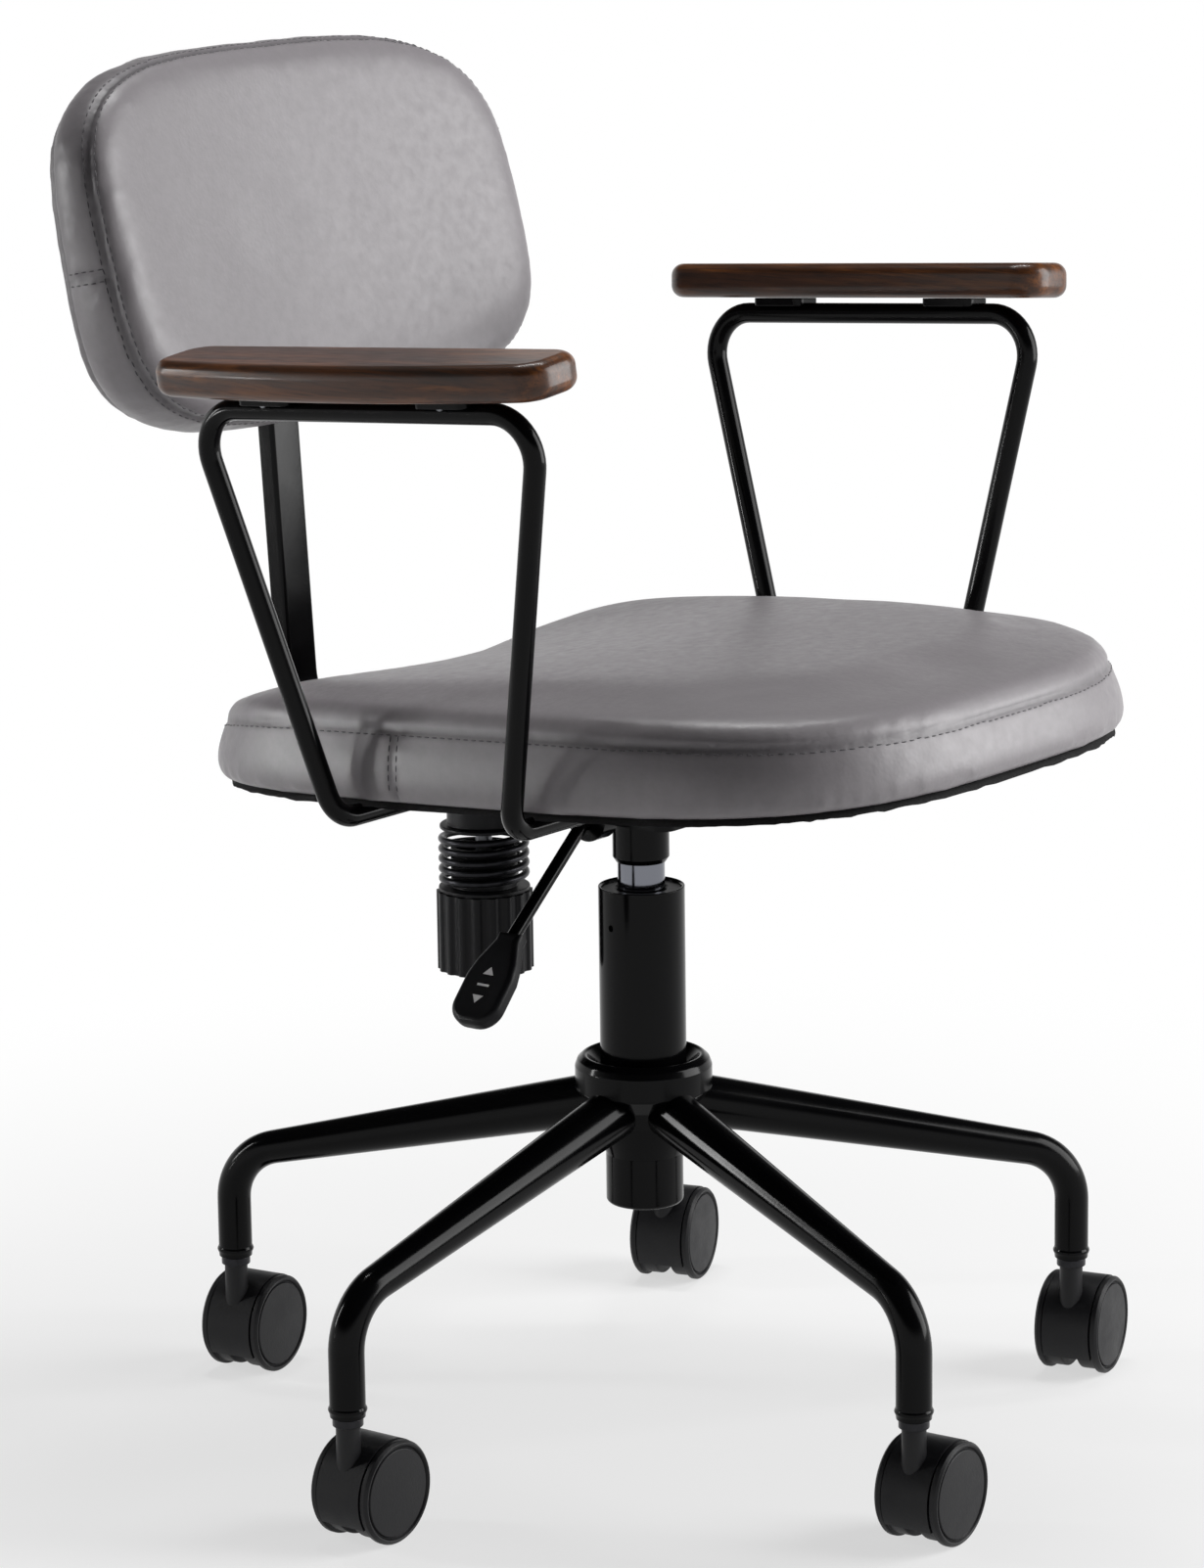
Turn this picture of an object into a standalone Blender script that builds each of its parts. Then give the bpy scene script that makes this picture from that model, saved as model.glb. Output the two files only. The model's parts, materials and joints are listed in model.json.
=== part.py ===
"""Swivel office chair: five-leg tube base on twin-wheel casters, gas lift, padded seat,
sprung backrest on an upright bar, and bent tube arm loops with wooden pads.

Metres, +Z up. The origin is on the swivel axis at floor level, and the sitter faces -Y.
"""
import math

import bmesh
import bpy
from mathutils import Matrix, Vector

for leftover in list(bpy.data.objects):
    bpy.data.objects.remove(leftover, do_unlink=True)

# Clearances between neighbouring pieces
FIT = 0.0003                # pieces that rest on or fit in each other
RUN = 0.0006                # pieces that turn or slide past each other

# Five-leg base
LEG_COUNT = 5
LEG_FIRST_ANGLE = math.radians(34.9)
STEM_CIRCLE = 0.270         # column axis to caster stem
LEG_CROWN = 0.2052          # height where the leg lines would meet on the column axis
LEG_DROOP = math.radians(13.1)
LEG_ROOT_RADIUS = 0.0160
LEG_END_RADIUS = 0.0103
ELBOW_RADIUS = 0.036
HUB_COLLAR_RADIUS = 0.0408
HUB_COLLAR_RISE = 0.0250    # collar top above the leg crown
HUB_COLLAR_DEPTH = 0.0215
HUB_NECK_RADIUS = 0.0290
HUB_SLEEVE_WALL = 0.0027
HUB_SLEEVE_DROP = 0.0672    # sleeve end below the leg crown
HUB_DISH_DEPTH = 0.0100

# Twin-wheel casters
WHEEL_SIDES = 16
WHEEL_RADIUS = 0.0306
WHEEL_WIDTH = 0.0155
WHEEL_SPACE = 0.0100        # between the two inner faces
TREAD_STEP = 0.0025         # how far the covered tread lies below the rim
RIM_WIDTH = 0.0049          # rim outside the hood
AXLE_RADIUS = 0.0030
TRAIL = 0.0190              # stem axis to axle
HOOD_WALL = 0.0018
HOOD_HEIGHT = 0.0716        # top of the boss for the stem
HOOD_FRONT_END = math.radians(212.0)
HOOD_REAR_END = math.radians(-15.0)
BOSS_RADIUS = 0.0070
STEM_RADIUS = 0.0055
STEM_IN_HOOD = 0.0141
STEM_IN_LEG = 0.0320
STEM_COLLAR_RADIUS = 0.0088
STEM_COLLAR_HEIGHT = 0.0050
CASTER_TURNS = [math.radians(a) for a in (16.5, 8.5, 1.5, 4.0, 13.0)]

# Gas lift
TUBE_RADIUS = 0.0256
TUBE_WALL = 0.0020
TUBE_SHOWN = 0.1108         # outer tube above the hub
TUBE_FLOOR = 0.0030
TUBE_RECESS = 0.0043        # tube floor above the sleeve end
SPIGOT_RADIUS = 0.0200
SCREW_HOLE_RADIUS = 0.0020
SCREW_HOLE_ANGLE = math.radians(172.0)
SCREW_HOLE_DROP = 0.0220
BUSH_LENGTH = 0.0740
BUSH_RECESS = 0.0015
CYLINDER_RADIUS = 0.0140
CYLINDER_BORE = 0.0110
CYLINDER_HANG = 0.1660      # cylinder end below the top of the outer tube
CYLINDER_BORE_LENGTH = 0.1350
CYLINDER_SHOWN = 0.0148     # chrome between the tube and the socket
TAPER_LENGTH = 0.0405
TAPER_DRAFT = 0.0008
GLAND_HEIGHT = 0.0100
ROD_RADIUS = 0.0050
ROD_NECK = 0.0040
ROD_SHOULDER = 0.0075
PISTON_RADIUS = 0.0105
PISTON_HEIGHT = 0.0100
PISTON_HEADROOM = 0.0070
BEARING_RADIUS = 0.0145
BEARING_HEIGHT = 0.0060
CLIP_RADIUS = 0.0100
CLIP_HEIGHT = 0.0020
PIN_RADIUS = 0.0040
PIN_LENGTH = 0.0452
PIN_SHOWN = 0.0062

# Mechanism under the seat
SOCKET_WALL = 0.0025
SOCKET_SHOWN = 0.0305       # socket below the housing floor
SOCKET_INSIDE = 0.0130
HOUSING_HALF_WIDTH = 0.0420
HOUSING_FRONT = 0.0500      # in front of the column axis
HOUSING_REAR = 0.0880
HOUSING_HEIGHT = 0.0349     # floor to seat plate on the column axis
HOUSING_WALL = 0.0025
HOUSING_CORNER = 0.0090
SEAT_RAKE = math.radians(3.8)
PLATE_HALF_WIDTH = 0.0750
PLATE_FRONT = 0.0900
PLATE_REAR = 0.1500
PLATE_THICKNESS = 0.0030
PLATE_CORNER = 0.0150
PLATE_HOLE_RADIUS = 0.0035
PLATE_HOLE_INSET = 0.0150
PIVOT_REACH = 0.0680        # pivot pin behind the column axis
PIVOT_RISE = 0.0160         # pivot pin above the housing floor
PIVOT_RADIUS = 0.0050
PIVOT_HEAD = 0.0035
PIVOT_SLEEVE_RADIUS = 0.0100

# Tension spring, its bolt and its knob
SPRING_REACH = 0.1192       # behind the column axis
SPRING_RADIUS = 0.0254      # to the middle of the wire
SPRING_WIRE = 0.0042
SPRING_TURNS = 5
SPRING_LENGTH = 0.0350
SPRING_POINTS = 9           # per turn
CAP_RADIUS = 0.0220
CAP_LENGTH = 0.0349
CAP_FLANGE = 0.0025
CAP_BORE = 0.0125
WASHER_THICKNESS = 0.0024
GUIDE_RADIUS = 0.0200       # sleeve on the washer, inside the coils
GUIDE_WALL = 0.0016
GUIDE_SHARE = 0.62          # share of the spring's length that it fills
BOLT_RADIUS = 0.0050
BOLT_HEAD_RADIUS = 0.0100
BOLT_HEAD_HEIGHT = 0.0020
KNOB_RADIUS = 0.0290
KNOB_HEIGHT = 0.0485
KNOB_FLUTES = 18
KNOB_FLUTE_DEPTH = 0.0016
KNOB_EDGE = 0.0030
KNOB_FLOOR = 0.0030

# Height lever
LEVER_RADIUS = 0.0040
LEVER_PIVOT_BEYOND = 0.0030 # pivot outside the housing's wall
LEVER_TIP = 0.0060          # how far the tip reaches past the column axis
LEVER_DROOP = math.radians(39.2)
LEVER_ROD_RUN = 0.0755      # pivot to the paddle, sideways
LEVER_BEND = 0.012
LEVER_PLAY = 0.0016         # room round the rod in its boss, so that it can rock
LEVER_BOSS_RADIUS = 0.0140
LEVER_BOSS_LENGTH = 0.0100
GRIP_DROOP = math.radians(47.0)
GRIP_LENGTH = 0.0610
GRIP_NECK = 0.0160
GRIP_WIDTH = 0.0330
GRIP_THICKNESS = 0.0105
GRIP_FLARE = 0.0200
GRIP_SOCKET = 0.0180

# Seat
SEAT_HALF_WIDTH = 0.2025
SEAT_FRONT = 0.2700         # front edge from the column axis
SEAT_REAR = 0.2070
SEAT_WIDEST = 0.0600        # widest line, in front of the column axis
SEAT_SQUARE_FRONT = 3.1
SEAT_SQUARE_REAR = 4.8
SEAT_SEAM_HEIGHT = 0.0415
SEAT_CROWN = 0.0200
SEAT_DRAFT = 0.0065         # how far the seam lies inside the lower edge
SEAT_SADDLE = 0.0280        # dip in the middle of the rear edge
SEAT_WATERFALL = 0.0080     # drop along the front edge
SEAT_BOARD_THICKNESS = 0.0120
SEAT_BOARD_INSET = 0.0120
DUST_COVER_THICKNESS = 0.0010
DUST_COVER_INSET = 0.0045
OUTLINE_POINTS = 36

# Backrest and its upright bar
BAR_WIDTH = 0.0260
BAR_DEPTH = 0.0130
BAR_EDGE = 0.0025
BAR_BEND = 0.040
BAR_REACH = 0.2625          # upright behind the column axis, where it meets the lower run
BAR_LEAN = math.radians(3.7)
BAR_KNEE = 0.2640           # bend inside the backrest, above the pivot pin
BAR_KNEE_BEND = 0.060
BAR_END = 0.0850            # bar beyond that bend
BACK_RECLINE = math.radians(10.7)
BACK_HALF_WIDTH = 0.1900
BACK_HALF_HEIGHT = 0.1145
BACK_SQUARE = 3.6
BACK_FLARE = 0.050          # share by which the lower edge is wider
BACK_BOXING = 0.0352
BACK_FRONT_CROWN = 0.0130
BACK_REAR_CROWN = 0.0110
BACK_WRAP = 0.0230          # how far the sides come forward of the middle
BACK_WEDGE = 0.12           # share by which the lower edge is thicker
BACK_BOARD_THICKNESS = 0.0090
BACK_BOARD_INSET = 0.0320
BACK_BOARD_STRIPS = 8       # flat strips that stand for the bend of the board
BACK_ABOVE_KNEE = 0.0430    # backrest centre beyond the bend in the bar
BAR_SET_BACK = 0.0141       # bar's middle behind the backrest's middle

# Arm loops and pads
ARM_TUBE = 0.00625
ARM_GAP = 0.00695           # between the seat's side and the tube
ARM_SPLAY = 0.0243          # top bar outside the feet
ARM_TOP_HEIGHT = 0.2263     # bar above the underside of the seat board
ARM_TOP_FRONT = 0.1345
ARM_TOP_REAR = 0.1115
ARM_FOOT_FRONT = 0.0752
ARM_FOOT_REAR = 0.0507
ARM_RUN_END = 0.1180        # tube end from the chair's middle
ARM_BEND = 0.0250
ARM_FOOT_BEND = 0.0170
FOOT_PLATE_WIDTH = 0.0340
FOOT_PLATE_THICKNESS = 0.0030
FOOT_PLATE_BEYOND = 0.0120
TAB_LENGTH = 0.0360
TAB_WIDTH = 0.0220
TAB_RISE = 0.0030
TAB_INSET = 0.0420
PAD_LENGTH = 0.2770
PAD_WIDTH = 0.0580
PAD_THICKNESS = 0.0210
PAD_CORNER = 0.0180
PAD_BOW = 0.0110            # how far the outer side bulges over the pad's length
PAD_EDGE = 0.0055

# Levels worked out from the floor up, and the arms from the seat's width
axle_height = WHEEL_RADIUS * math.cos(math.pi / WHEEL_SIDES)
leg_foot = HOOD_HEIGHT + FIT + STEM_COLLAR_HEIGHT + FIT
hub_top = LEG_CROWN + HUB_COLLAR_RISE
hub_bottom = LEG_CROWN - HUB_SLEEVE_DROP
dish_floor = hub_top - HUB_DISH_DEPTH
tube_bottom = hub_bottom + TUBE_RECESS
tube_seat = dish_floor + FIT
tube_top = tube_seat + TUBE_SHOWN
bearing_bottom = tube_bottom + TUBE_FLOOR + FIT
cylinder_bottom = tube_top - CYLINDER_HANG
bore_top = cylinder_bottom + CYLINDER_BORE_LENGTH
socket_bottom = tube_top + CYLINDER_SHOWN
cylinder_top = socket_bottom + TAPER_LENGTH
pin_top = cylinder_top + PIN_SHOWN
housing_floor = socket_bottom + SOCKET_SHOWN
plate_level = housing_floor + HOUSING_HEIGHT
seat_level = plate_level + PLATE_THICKNESS + DUST_COVER_THICKNESS + 2 * FIT
pivot_level = housing_floor + PIVOT_RISE
bar_bottom = pivot_level - BAR_DEPTH / 2
cap_bottom = bar_bottom - FIT - CAP_LENGTH
spring_bottom = cap_bottom - FIT - SPRING_LENGTH
knob_top = spring_bottom - FIT - WASHER_THICKNESS - FIT
knob_bottom = knob_top - KNOB_HEIGHT
lever_level = pin_top + FIT + LEVER_RADIUS
lever_pivot_out = HOUSING_HALF_WIDTH + LEVER_PIVOT_BEYOND
arm_foot_out = SEAT_HALF_WIDTH + ARM_GAP + ARM_TUBE
arm_top_out = arm_foot_out + ARM_SPLAY


# Finishes
def finish(name, colour, roughness, metallic=0.0):
    """One plain finish, with its colour given as sRGB hex digits."""
    channels = [int(colour[i:i + 2], 16) / 255 for i in (0, 2, 4)]
    linear = [c / 12.92 if c <= 0.04045 else ((c + 0.055) / 1.055) ** 2.4 for c in channels]
    made = bpy.data.materials.new(name)
    made.use_nodes = True
    shader = made.node_tree.nodes["Principled BSDF"]
    shader.inputs["Base Color"].default_value = (*linear, 1.0)
    shader.inputs["Roughness"].default_value = roughness
    shader.inputs["Metallic"].default_value = metallic
    made.diffuse_color = (*linear, 1.0)
    return made


POWDER_COAT = finish("gloss_black_powder_coat", "141416", 0.28)
NYLON = finish("black_nylon", "1e1e20", 0.55)
BLACK_PLASTIC = finish("black_plastic", "19191b", 0.45)
CHROME = finish("chrome", "d8d9dc", 0.08, 1.0)
STEEL = finish("bright_steel", "9a9ca0", 0.30, 1.0)
SPRING_STEEL = finish("blackened_spring_steel", "1b1b1d", 0.40, 0.6)
LEATHERETTE = finish("grey_leatherette", "8c888c", 0.45)
WALNUT = finish("dark_walnut", "4a2c1c", 0.35)
PLYWOOD = finish("plywood", "b89468", 0.60)
DUST_CLOTH = finish("black_dust_cloth", "161616", 0.90)


# Modelling helpers
def as_object(name, bm, material=None, parent=None):
    """Close a bmesh into an object, smooth on its round stretches."""
    bmesh.ops.remove_doubles(bm, verts=bm.verts, dist=1e-6)
    bmesh.ops.recalc_face_normals(bm, faces=bm.faces)
    mesh = bpy.data.meshes.new(name)
    bm.to_mesh(mesh)
    bm.free()
    mesh.shade_smooth()
    mesh.set_sharp_from_angle(angle=math.radians(35))
    made = bpy.data.objects.new(name, mesh)
    bpy.context.scene.collection.objects.link(made)
    if material:
        mesh.materials.append(material)
    made.parent = parent
    return made


def frame_at(name, location=(0, 0, 0), rotation=(0, 0, 0), parent=None):
    """An empty that carries the pieces of one moving or tilted group."""
    empty = bpy.data.objects.new(name, None)
    empty.empty_display_size = 0.02
    bpy.context.scene.collection.objects.link(empty)
    empty.location = location
    empty.rotation_euler = rotation
    empty.parent = parent
    return empty


def combine(target, tool, operation):
    """Join or cut two objects in the target's own frame, and drop the tool."""
    tool.parent = target.parent
    step = target.modifiers.new(operation, "BOOLEAN")
    step.object = tool
    step.operation = operation
    step.solver = "EXACT"
    depsgraph = bpy.context.evaluated_depsgraph_get()
    result = bpy.data.meshes.new_from_object(target.evaluated_get(depsgraph))
    target.modifiers.clear()
    bm = bmesh.new()
    bm.from_mesh(result)
    bmesh.ops.remove_doubles(bm, verts=bm.verts, dist=1e-6)
    bmesh.ops.dissolve_degenerate(bm, edges=bm.edges, dist=1e-6)
    bm.to_mesh(target.data)
    bm.free()
    target.data.shade_smooth()
    target.data.set_sharp_from_angle(angle=math.radians(35))
    bpy.data.meshes.remove(result)
    bpy.data.objects.remove(tool, do_unlink=True)
    return target


def join(target, *tools):
    for tool in tools:
        combine(target, tool, "UNION")
    return target


def cut(target, *tools):
    for tool in tools:
        combine(target, tool, "DIFFERENCE")
    return target


def turned(name, profile, sides, material=None, parent=None, phase=0.0, turn=None):
    """Spin (radius, height) points about Z. A profile off the axis closes on itself."""
    bm = bmesh.new()
    start = Matrix.Rotation(phase, 4, "Z")
    verts = [bm.verts.new(start @ Vector((r, 0, z))) for r, z in profile]
    edges = [bm.edges.new(pair) for pair in zip(verts, verts[1:])]
    if profile[0][0] > 0 or profile[-1][0] > 0:
        edges.append(bm.edges.new((verts[-1], verts[0])))
    bmesh.ops.spin(bm, geom=verts + edges, cent=(0, 0, 0), axis=(0, 0, 1), dvec=(0, 0, 0),
                   angle=2 * math.pi, steps=sides, use_merge=True, use_normal_flip=False,
                   use_duplicate=False)
    if turn:
        bmesh.ops.transform(bm, matrix=turn, verts=bm.verts)
    return as_object(name, bm, material, parent)


def rod(name, radius, low, high, sides=16, turn=None):
    """A plain round bar or drill along Z, before it is turned into place."""
    return turned(name, [(0, high), (radius, high), (radius, low), (0, low)], sides, turn=turn)


def slab(name, outline, low, high, material=None, parent=None, edge=0.0, edge_steps=2, turn=None):
    """Raise a flat outline from one level to another, with its edges rounded."""
    bm = bmesh.new()
    face = bm.faces.new([bm.verts.new((x, y, low)) for x, y in outline])
    raised = bmesh.ops.extrude_face_region(bm, geom=[face])
    moved = [v for v in raised["geom"] if isinstance(v, bmesh.types.BMVert)]
    bmesh.ops.translate(bm, verts=moved, vec=(0, 0, high - low))
    if edge:
        rims = [e for e in bm.edges if abs(e.verts[0].co.z - e.verts[1].co.z) < 1e-9]
        bmesh.ops.bevel(bm, geom=rims, offset=edge, segments=edge_steps, profile=0.5,
                        affect="EDGES", material=-1, clamp_overlap=True)
    if turn:
        bmesh.ops.transform(bm, matrix=turn, verts=bm.verts)
    return as_object(name, bm, material, parent)


def block(name, low, high, turn=None):
    """A square-edged box between two corners."""
    (x0, y0, z0), (x1, y1, z1) = low, high
    return slab(name, [(x0, y0), (x1, y0), (x1, y1), (x0, y1)], z0, z1, turn=turn)


def arc(centre, radius, start, end, steps):
    """Points of a flat arc, both ends included."""
    angles = [start + (end - start) * i / steps for i in range(steps + 1)]
    return [(centre[0] + radius * math.cos(a), centre[1] + radius * math.sin(a)) for a in angles]


def rounded_rectangle(x0, x1, y0, y1, radius, steps=5):
    corners = [(x1 - radius, y1 - radius), (x0 + radius, y1 - radius),
               (x0 + radius, y0 + radius), (x1 - radius, y0 + radius)]
    quarter = math.pi / 2
    points = []
    for i, corner in enumerate(corners):
        points += arc(corner, radius, i * quarter, (i + 1) * quarter, steps)
    return points


def bent_path(corners, bends, steps=6):
    """Straight runs between corners, with an arc of the given radius at each bend."""
    corners = [Vector(c) for c in corners]
    path = [corners[0]]
    for before, corner, after, radius in zip(corners, corners[1:], corners[2:], bends):
        into = (corner - before).normalized()
        out = (after - corner).normalized()
        angle = into.angle(out)
        centre = corner + (out - into).normalized() * radius / math.cos(angle / 2)
        spoke = corner - into * radius * math.tan(angle / 2) - centre
        axis = into.cross(out)
        for i in range(steps + 1):
            path.append(centre + Matrix.Rotation(angle * i / steps, 3, axis) @ spoke)
    path.append(corners[-1])
    return path


def tube(name, path, radii, material=None, parent=None, roundness=3):
    """A closed round tube along a path, with its own radius at each point."""
    curve = bpy.data.curves.new(name, "CURVE")
    curve.dimensions = "3D"
    curve.fill_mode = "FULL"
    curve.bevel_depth = 1.0
    curve.bevel_resolution = roundness
    curve.use_fill_caps = True
    spline = curve.splines.new("POLY")
    spline.points.add(len(path) - 1)
    for point, place, radius in zip(spline.points, path, radii):
        point.co = (*place, 1.0)
        point.radius = radius
    carrier = bpy.data.objects.new(name + "_line", curve)
    bpy.context.scene.collection.objects.link(carrier)
    depsgraph = bpy.context.evaluated_depsgraph_get()
    skin = bpy.data.meshes.new_from_object(carrier.evaluated_get(depsgraph))
    bm = bmesh.new()
    bm.from_mesh(skin)
    bpy.data.objects.remove(carrier, do_unlink=True)
    bpy.data.curves.remove(curve)
    bpy.data.meshes.remove(skin)
    return as_object(name, bm, material, parent)


def loft(name, rings, material=None, parent=None):
    """Skin a row of rings with equal point counts and close both ends."""
    bm = bmesh.new()
    loops = [[bm.verts.new(p) for p in ring] for ring in rings]
    for low, high in zip(loops, loops[1:]):
        for i in range(len(low)):
            bm.faces.new((low[i - 1], low[i], high[i], high[i - 1]))
    bm.faces.new(loops[0])
    bm.faces.new(loops[-1])
    return as_object(name, bm, material, parent)


def pillow_outline(half_width, ahead, behind, square_ahead, square_behind, count=OUTLINE_POINTS):
    """A rounded outline whose corners are squarer the higher the given powers are."""
    points = []
    for i in range(count):
        a = 2 * math.pi * (i + 0.5) / count
        c, s = math.cos(a), math.sin(a)
        power = 2 / (square_behind if s > 0 else square_ahead)
        reach = behind if s > 0 else ahead
        points.append((half_width * math.copysign(abs(c) ** power, c),
                       reach * math.copysign(abs(s) ** power, s)))
    return points


chair = frame_at("chair")

# Base hub: a turned collar with a dished top, a flared neck and a sleeve for the gas lift
sleeve_bore = SPIGOT_RADIUS + FIT
sleeve_radius = sleeve_bore + HUB_SLEEVE_WALL
collar_bottom = hub_top - HUB_COLLAR_DEPTH
neck_bottom = LEG_CROWN - 2.3 * LEG_ROOT_RADIUS
hub_outside = [
    (TUBE_RADIUS + 0.0015, dish_floor), (HUB_COLLAR_RADIUS - 0.0060, hub_top),
    (HUB_COLLAR_RADIUS - 0.0015, hub_top - 0.0040), (HUB_COLLAR_RADIUS, hub_top - 0.0080),
    (HUB_COLLAR_RADIUS, collar_bottom), (HUB_NECK_RADIUS + 0.0040, collar_bottom - 0.0090),
    (HUB_NECK_RADIUS, collar_bottom - 0.0200), (sleeve_radius, neck_bottom),
    (sleeve_radius, hub_bottom + 0.0015), (sleeve_radius - 0.0015, hub_bottom),
]
hub_bore = [(sleeve_bore, hub_bottom), (sleeve_bore, dish_floor)]
turned("base_hub", hub_outside + hub_bore, 28, POWDER_COAT, chair)

# Legs: tapered tubes, bent down at the elbow and bored at the foot for the caster stem
elbow = LEG_CROWN - STEM_CIRCLE * math.tan(LEG_DROOP)
leg_start = TUBE_RADIUS * 0.8
leg_line = bent_path(
    [(leg_start, 0, LEG_CROWN - leg_start * math.tan(LEG_DROOP)), (STEM_CIRCLE, 0, elbow),
     (STEM_CIRCLE, 0, leg_foot)], [ELBOW_RADIUS])
straight_end = leg_line[1].x
leg_radii = [LEG_END_RADIUS + (LEG_ROOT_RADIUS - LEG_END_RADIUS)
             * max(0.0, (straight_end - p.x) / (straight_end - leg_start)) for p in leg_line]
hub_core = [(0, hub_top + FIT)]
hub_core += [(r + FIT, z + (FIT if z >= hub_top else 0)) for r, z in hub_outside[1:]]
hub_core += [(0, hub_bottom)]
caster_frames = []
for number in range(LEG_COUNT):
    heading = LEG_FIRST_ANGLE + number * 2 * math.pi / LEG_COUNT
    leg_frame = frame_at(f"leg_frame_{number + 1}", rotation=(0, 0, heading), parent=chair)
    leg = tube(f"base_leg_{number + 1}", leg_line, leg_radii, POWDER_COAT, leg_frame, roundness=4)
    cut(leg, turned("hub_core", hub_core, 28),
        rod("stem_bore", STEM_RADIUS + FIT + 0.0002, leg_foot - 0.01, leg_foot + STEM_IN_LEG + RUN,
            12, Matrix.Translation((STEM_CIRCLE, 0, 0))))
    stem_place = Matrix.Rotation(heading, 3, "Z") @ Vector((STEM_CIRCLE, 0, 0))
    turn = CASTER_TURNS[number % len(CASTER_TURNS)]
    caster_frames.append(frame_at(f"caster_frame_{number + 1}", stem_place, (0, 0, turn), chair))

# Casters: a hood on a steel stem, with a wheel on each side of its web, all on one axle
lay_down = Matrix.Rotation(-math.pi / 2, 4, "X")
hood_radius = WHEEL_RADIUS
clear_radius = hood_radius - HOOD_WALL
tread_radius = WHEEL_RADIUS - TREAD_STEP
hood_half = WHEEL_SPACE / 2 + WHEEL_WIDTH - RIM_WIDTH - RUN
web_half = WHEEL_SPACE / 2 - RUN
axle_place = Matrix.Translation((TRAIL, 0, axle_height))
axle_bore = AXLE_RADIUS + FIT
bore_depth = WHEEL_WIDTH * 0.65
stem_end = HOOD_HEIGHT - STEM_IN_HOOD
rim_start = WHEEL_WIDTH - RIM_WIDTH
disc_radius = WHEEL_RADIUS - 0.0048
wheel_profile = [
    (0, WHEEL_WIDTH + 0.0008), (disc_radius, WHEEL_WIDTH - 0.0006),
    (disc_radius + 0.0010, WHEEL_WIDTH - 0.0022), (disc_radius + 0.0026, WHEEL_WIDTH),
    (WHEEL_RADIUS - 0.0010, WHEEL_WIDTH), (WHEEL_RADIUS, WHEEL_WIDTH - 0.0016),
    (WHEEL_RADIUS, rim_start), (tread_radius, rim_start), (tread_radius, 0),
    (axle_bore, 0), (axle_bore, bore_depth), (0, bore_depth),
]
stem_profile = [
    (0, leg_foot + STEM_IN_LEG), (STEM_RADIUS - 0.0015, leg_foot + STEM_IN_LEG),
    (STEM_RADIUS, leg_foot + STEM_IN_LEG - 0.0030), (STEM_RADIUS, leg_foot - FIT),
    (STEM_COLLAR_RADIUS - 0.0010, leg_foot - FIT), (STEM_COLLAR_RADIUS, leg_foot - FIT - 0.0010),
    (STEM_COLLAR_RADIUS, HOOD_HEIGHT + FIT), (STEM_RADIUS, HOOD_HEIGHT + FIT),
    (STEM_RADIUS, stem_end + FIT), (0, stem_end + FIT),
]
for number, caster in enumerate(caster_frames, 1):
    turned(f"caster_stem_{number}", stem_profile, 12, STEEL, caster)
    side_view = arc((0, 0), hood_radius, HOOD_REAR_END, HOOD_FRONT_END, 16)
    upright = Matrix.Rotation(math.pi / 2, 4, "X")
    hood = slab(f"caster_hood_{number}", side_view, -hood_half, hood_half, NYLON, caster,
                turn=axle_place @ upright)
    join(hood, turned("boss", [(0, HOOD_HEIGHT), (BOSS_RADIUS, HOOD_HEIGHT),
                               (BOSS_RADIUS, axle_height + 0.010), (0, axle_height + 0.010)], 12))
    for side in (-1, 1):
        room = rod("wheel_room", clear_radius, web_half, hood_half + 0.01, 24, lay_down)
        room.data.transform(Matrix.Diagonal((1, side, 1, 1)))
        if side < 0:
            room.data.flip_normals()
        room.data.transform(axle_place)
        cut(hood, room)
    cut(hood, rod("axle_hole", axle_bore, -WHEEL_SPACE, WHEEL_SPACE, 12, axle_place @ lay_down),
        rod("stem_hole", STEM_RADIUS + FIT, stem_end, HOOD_HEIGHT + 0.01, 12))
    half_axle = WHEEL_SPACE / 2 + bore_depth - FIT
    axle_frame = frame_at(f"axle_frame_{number}", (TRAIL, 0, axle_height), parent=caster)
    rod_axle = rod(f"caster_axle_{number}", AXLE_RADIUS, -half_axle, half_axle, 12, lay_down)
    rod_axle.data.materials.append(STEEL)
    rod_axle.parent = axle_frame
    for label, side in (("near", -1), ("far", 1)):
        facing = Matrix.Rotation(-side * math.pi / 2, 4, "X")
        place = facing @ Matrix.Translation((0, 0, WHEEL_SPACE / 2))
        turned(f"caster_wheel_{number}_{label}", wheel_profile, WHEEL_SIDES, NYLON, axle_frame,
               phase=math.pi / 2 + math.pi / WHEEL_SIDES, turn=place)

# Gas lift, fixed half: stepped outer tube, guide bush and thrust bearing
tube_bore = TUBE_RADIUS - TUBE_WALL
spigot_bore = SPIGOT_RADIUS - TUBE_WALL
floor_hole = ROD_NECK + RUN
tube_floor = tube_bottom + TUBE_FLOOR
outer_tube = turned("lift_outer_tube", [
    (tube_bore, tube_top - 0.0010), (tube_bore + 0.0008, tube_top), (TUBE_RADIUS - 0.0012, tube_top),
    (TUBE_RADIUS, tube_top - 0.0025), (TUBE_RADIUS, tube_seat), (SPIGOT_RADIUS, tube_seat),
    (SPIGOT_RADIUS, tube_bottom), (floor_hole, tube_bottom), (floor_hole, tube_floor),
    (spigot_bore, tube_floor), (spigot_bore, tube_seat + TUBE_WALL), (tube_bore, tube_seat + TUBE_WALL),
], 28, POWDER_COAT, chair)
aim = Matrix.Rotation(SCREW_HOLE_ANGLE, 4, "Z") @ Matrix.Rotation(math.pi / 2, 4, "Y")
screw_height = Matrix.Translation((0, 0, tube_top - SCREW_HOLE_DROP))
cut(outer_tube, rod("screw_hole", SCREW_HOLE_RADIUS, tube_bore - 0.003, TUBE_RADIUS + 0.003, 10,
                    screw_height @ aim))
bush_top = tube_top - BUSH_RECESS
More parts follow.
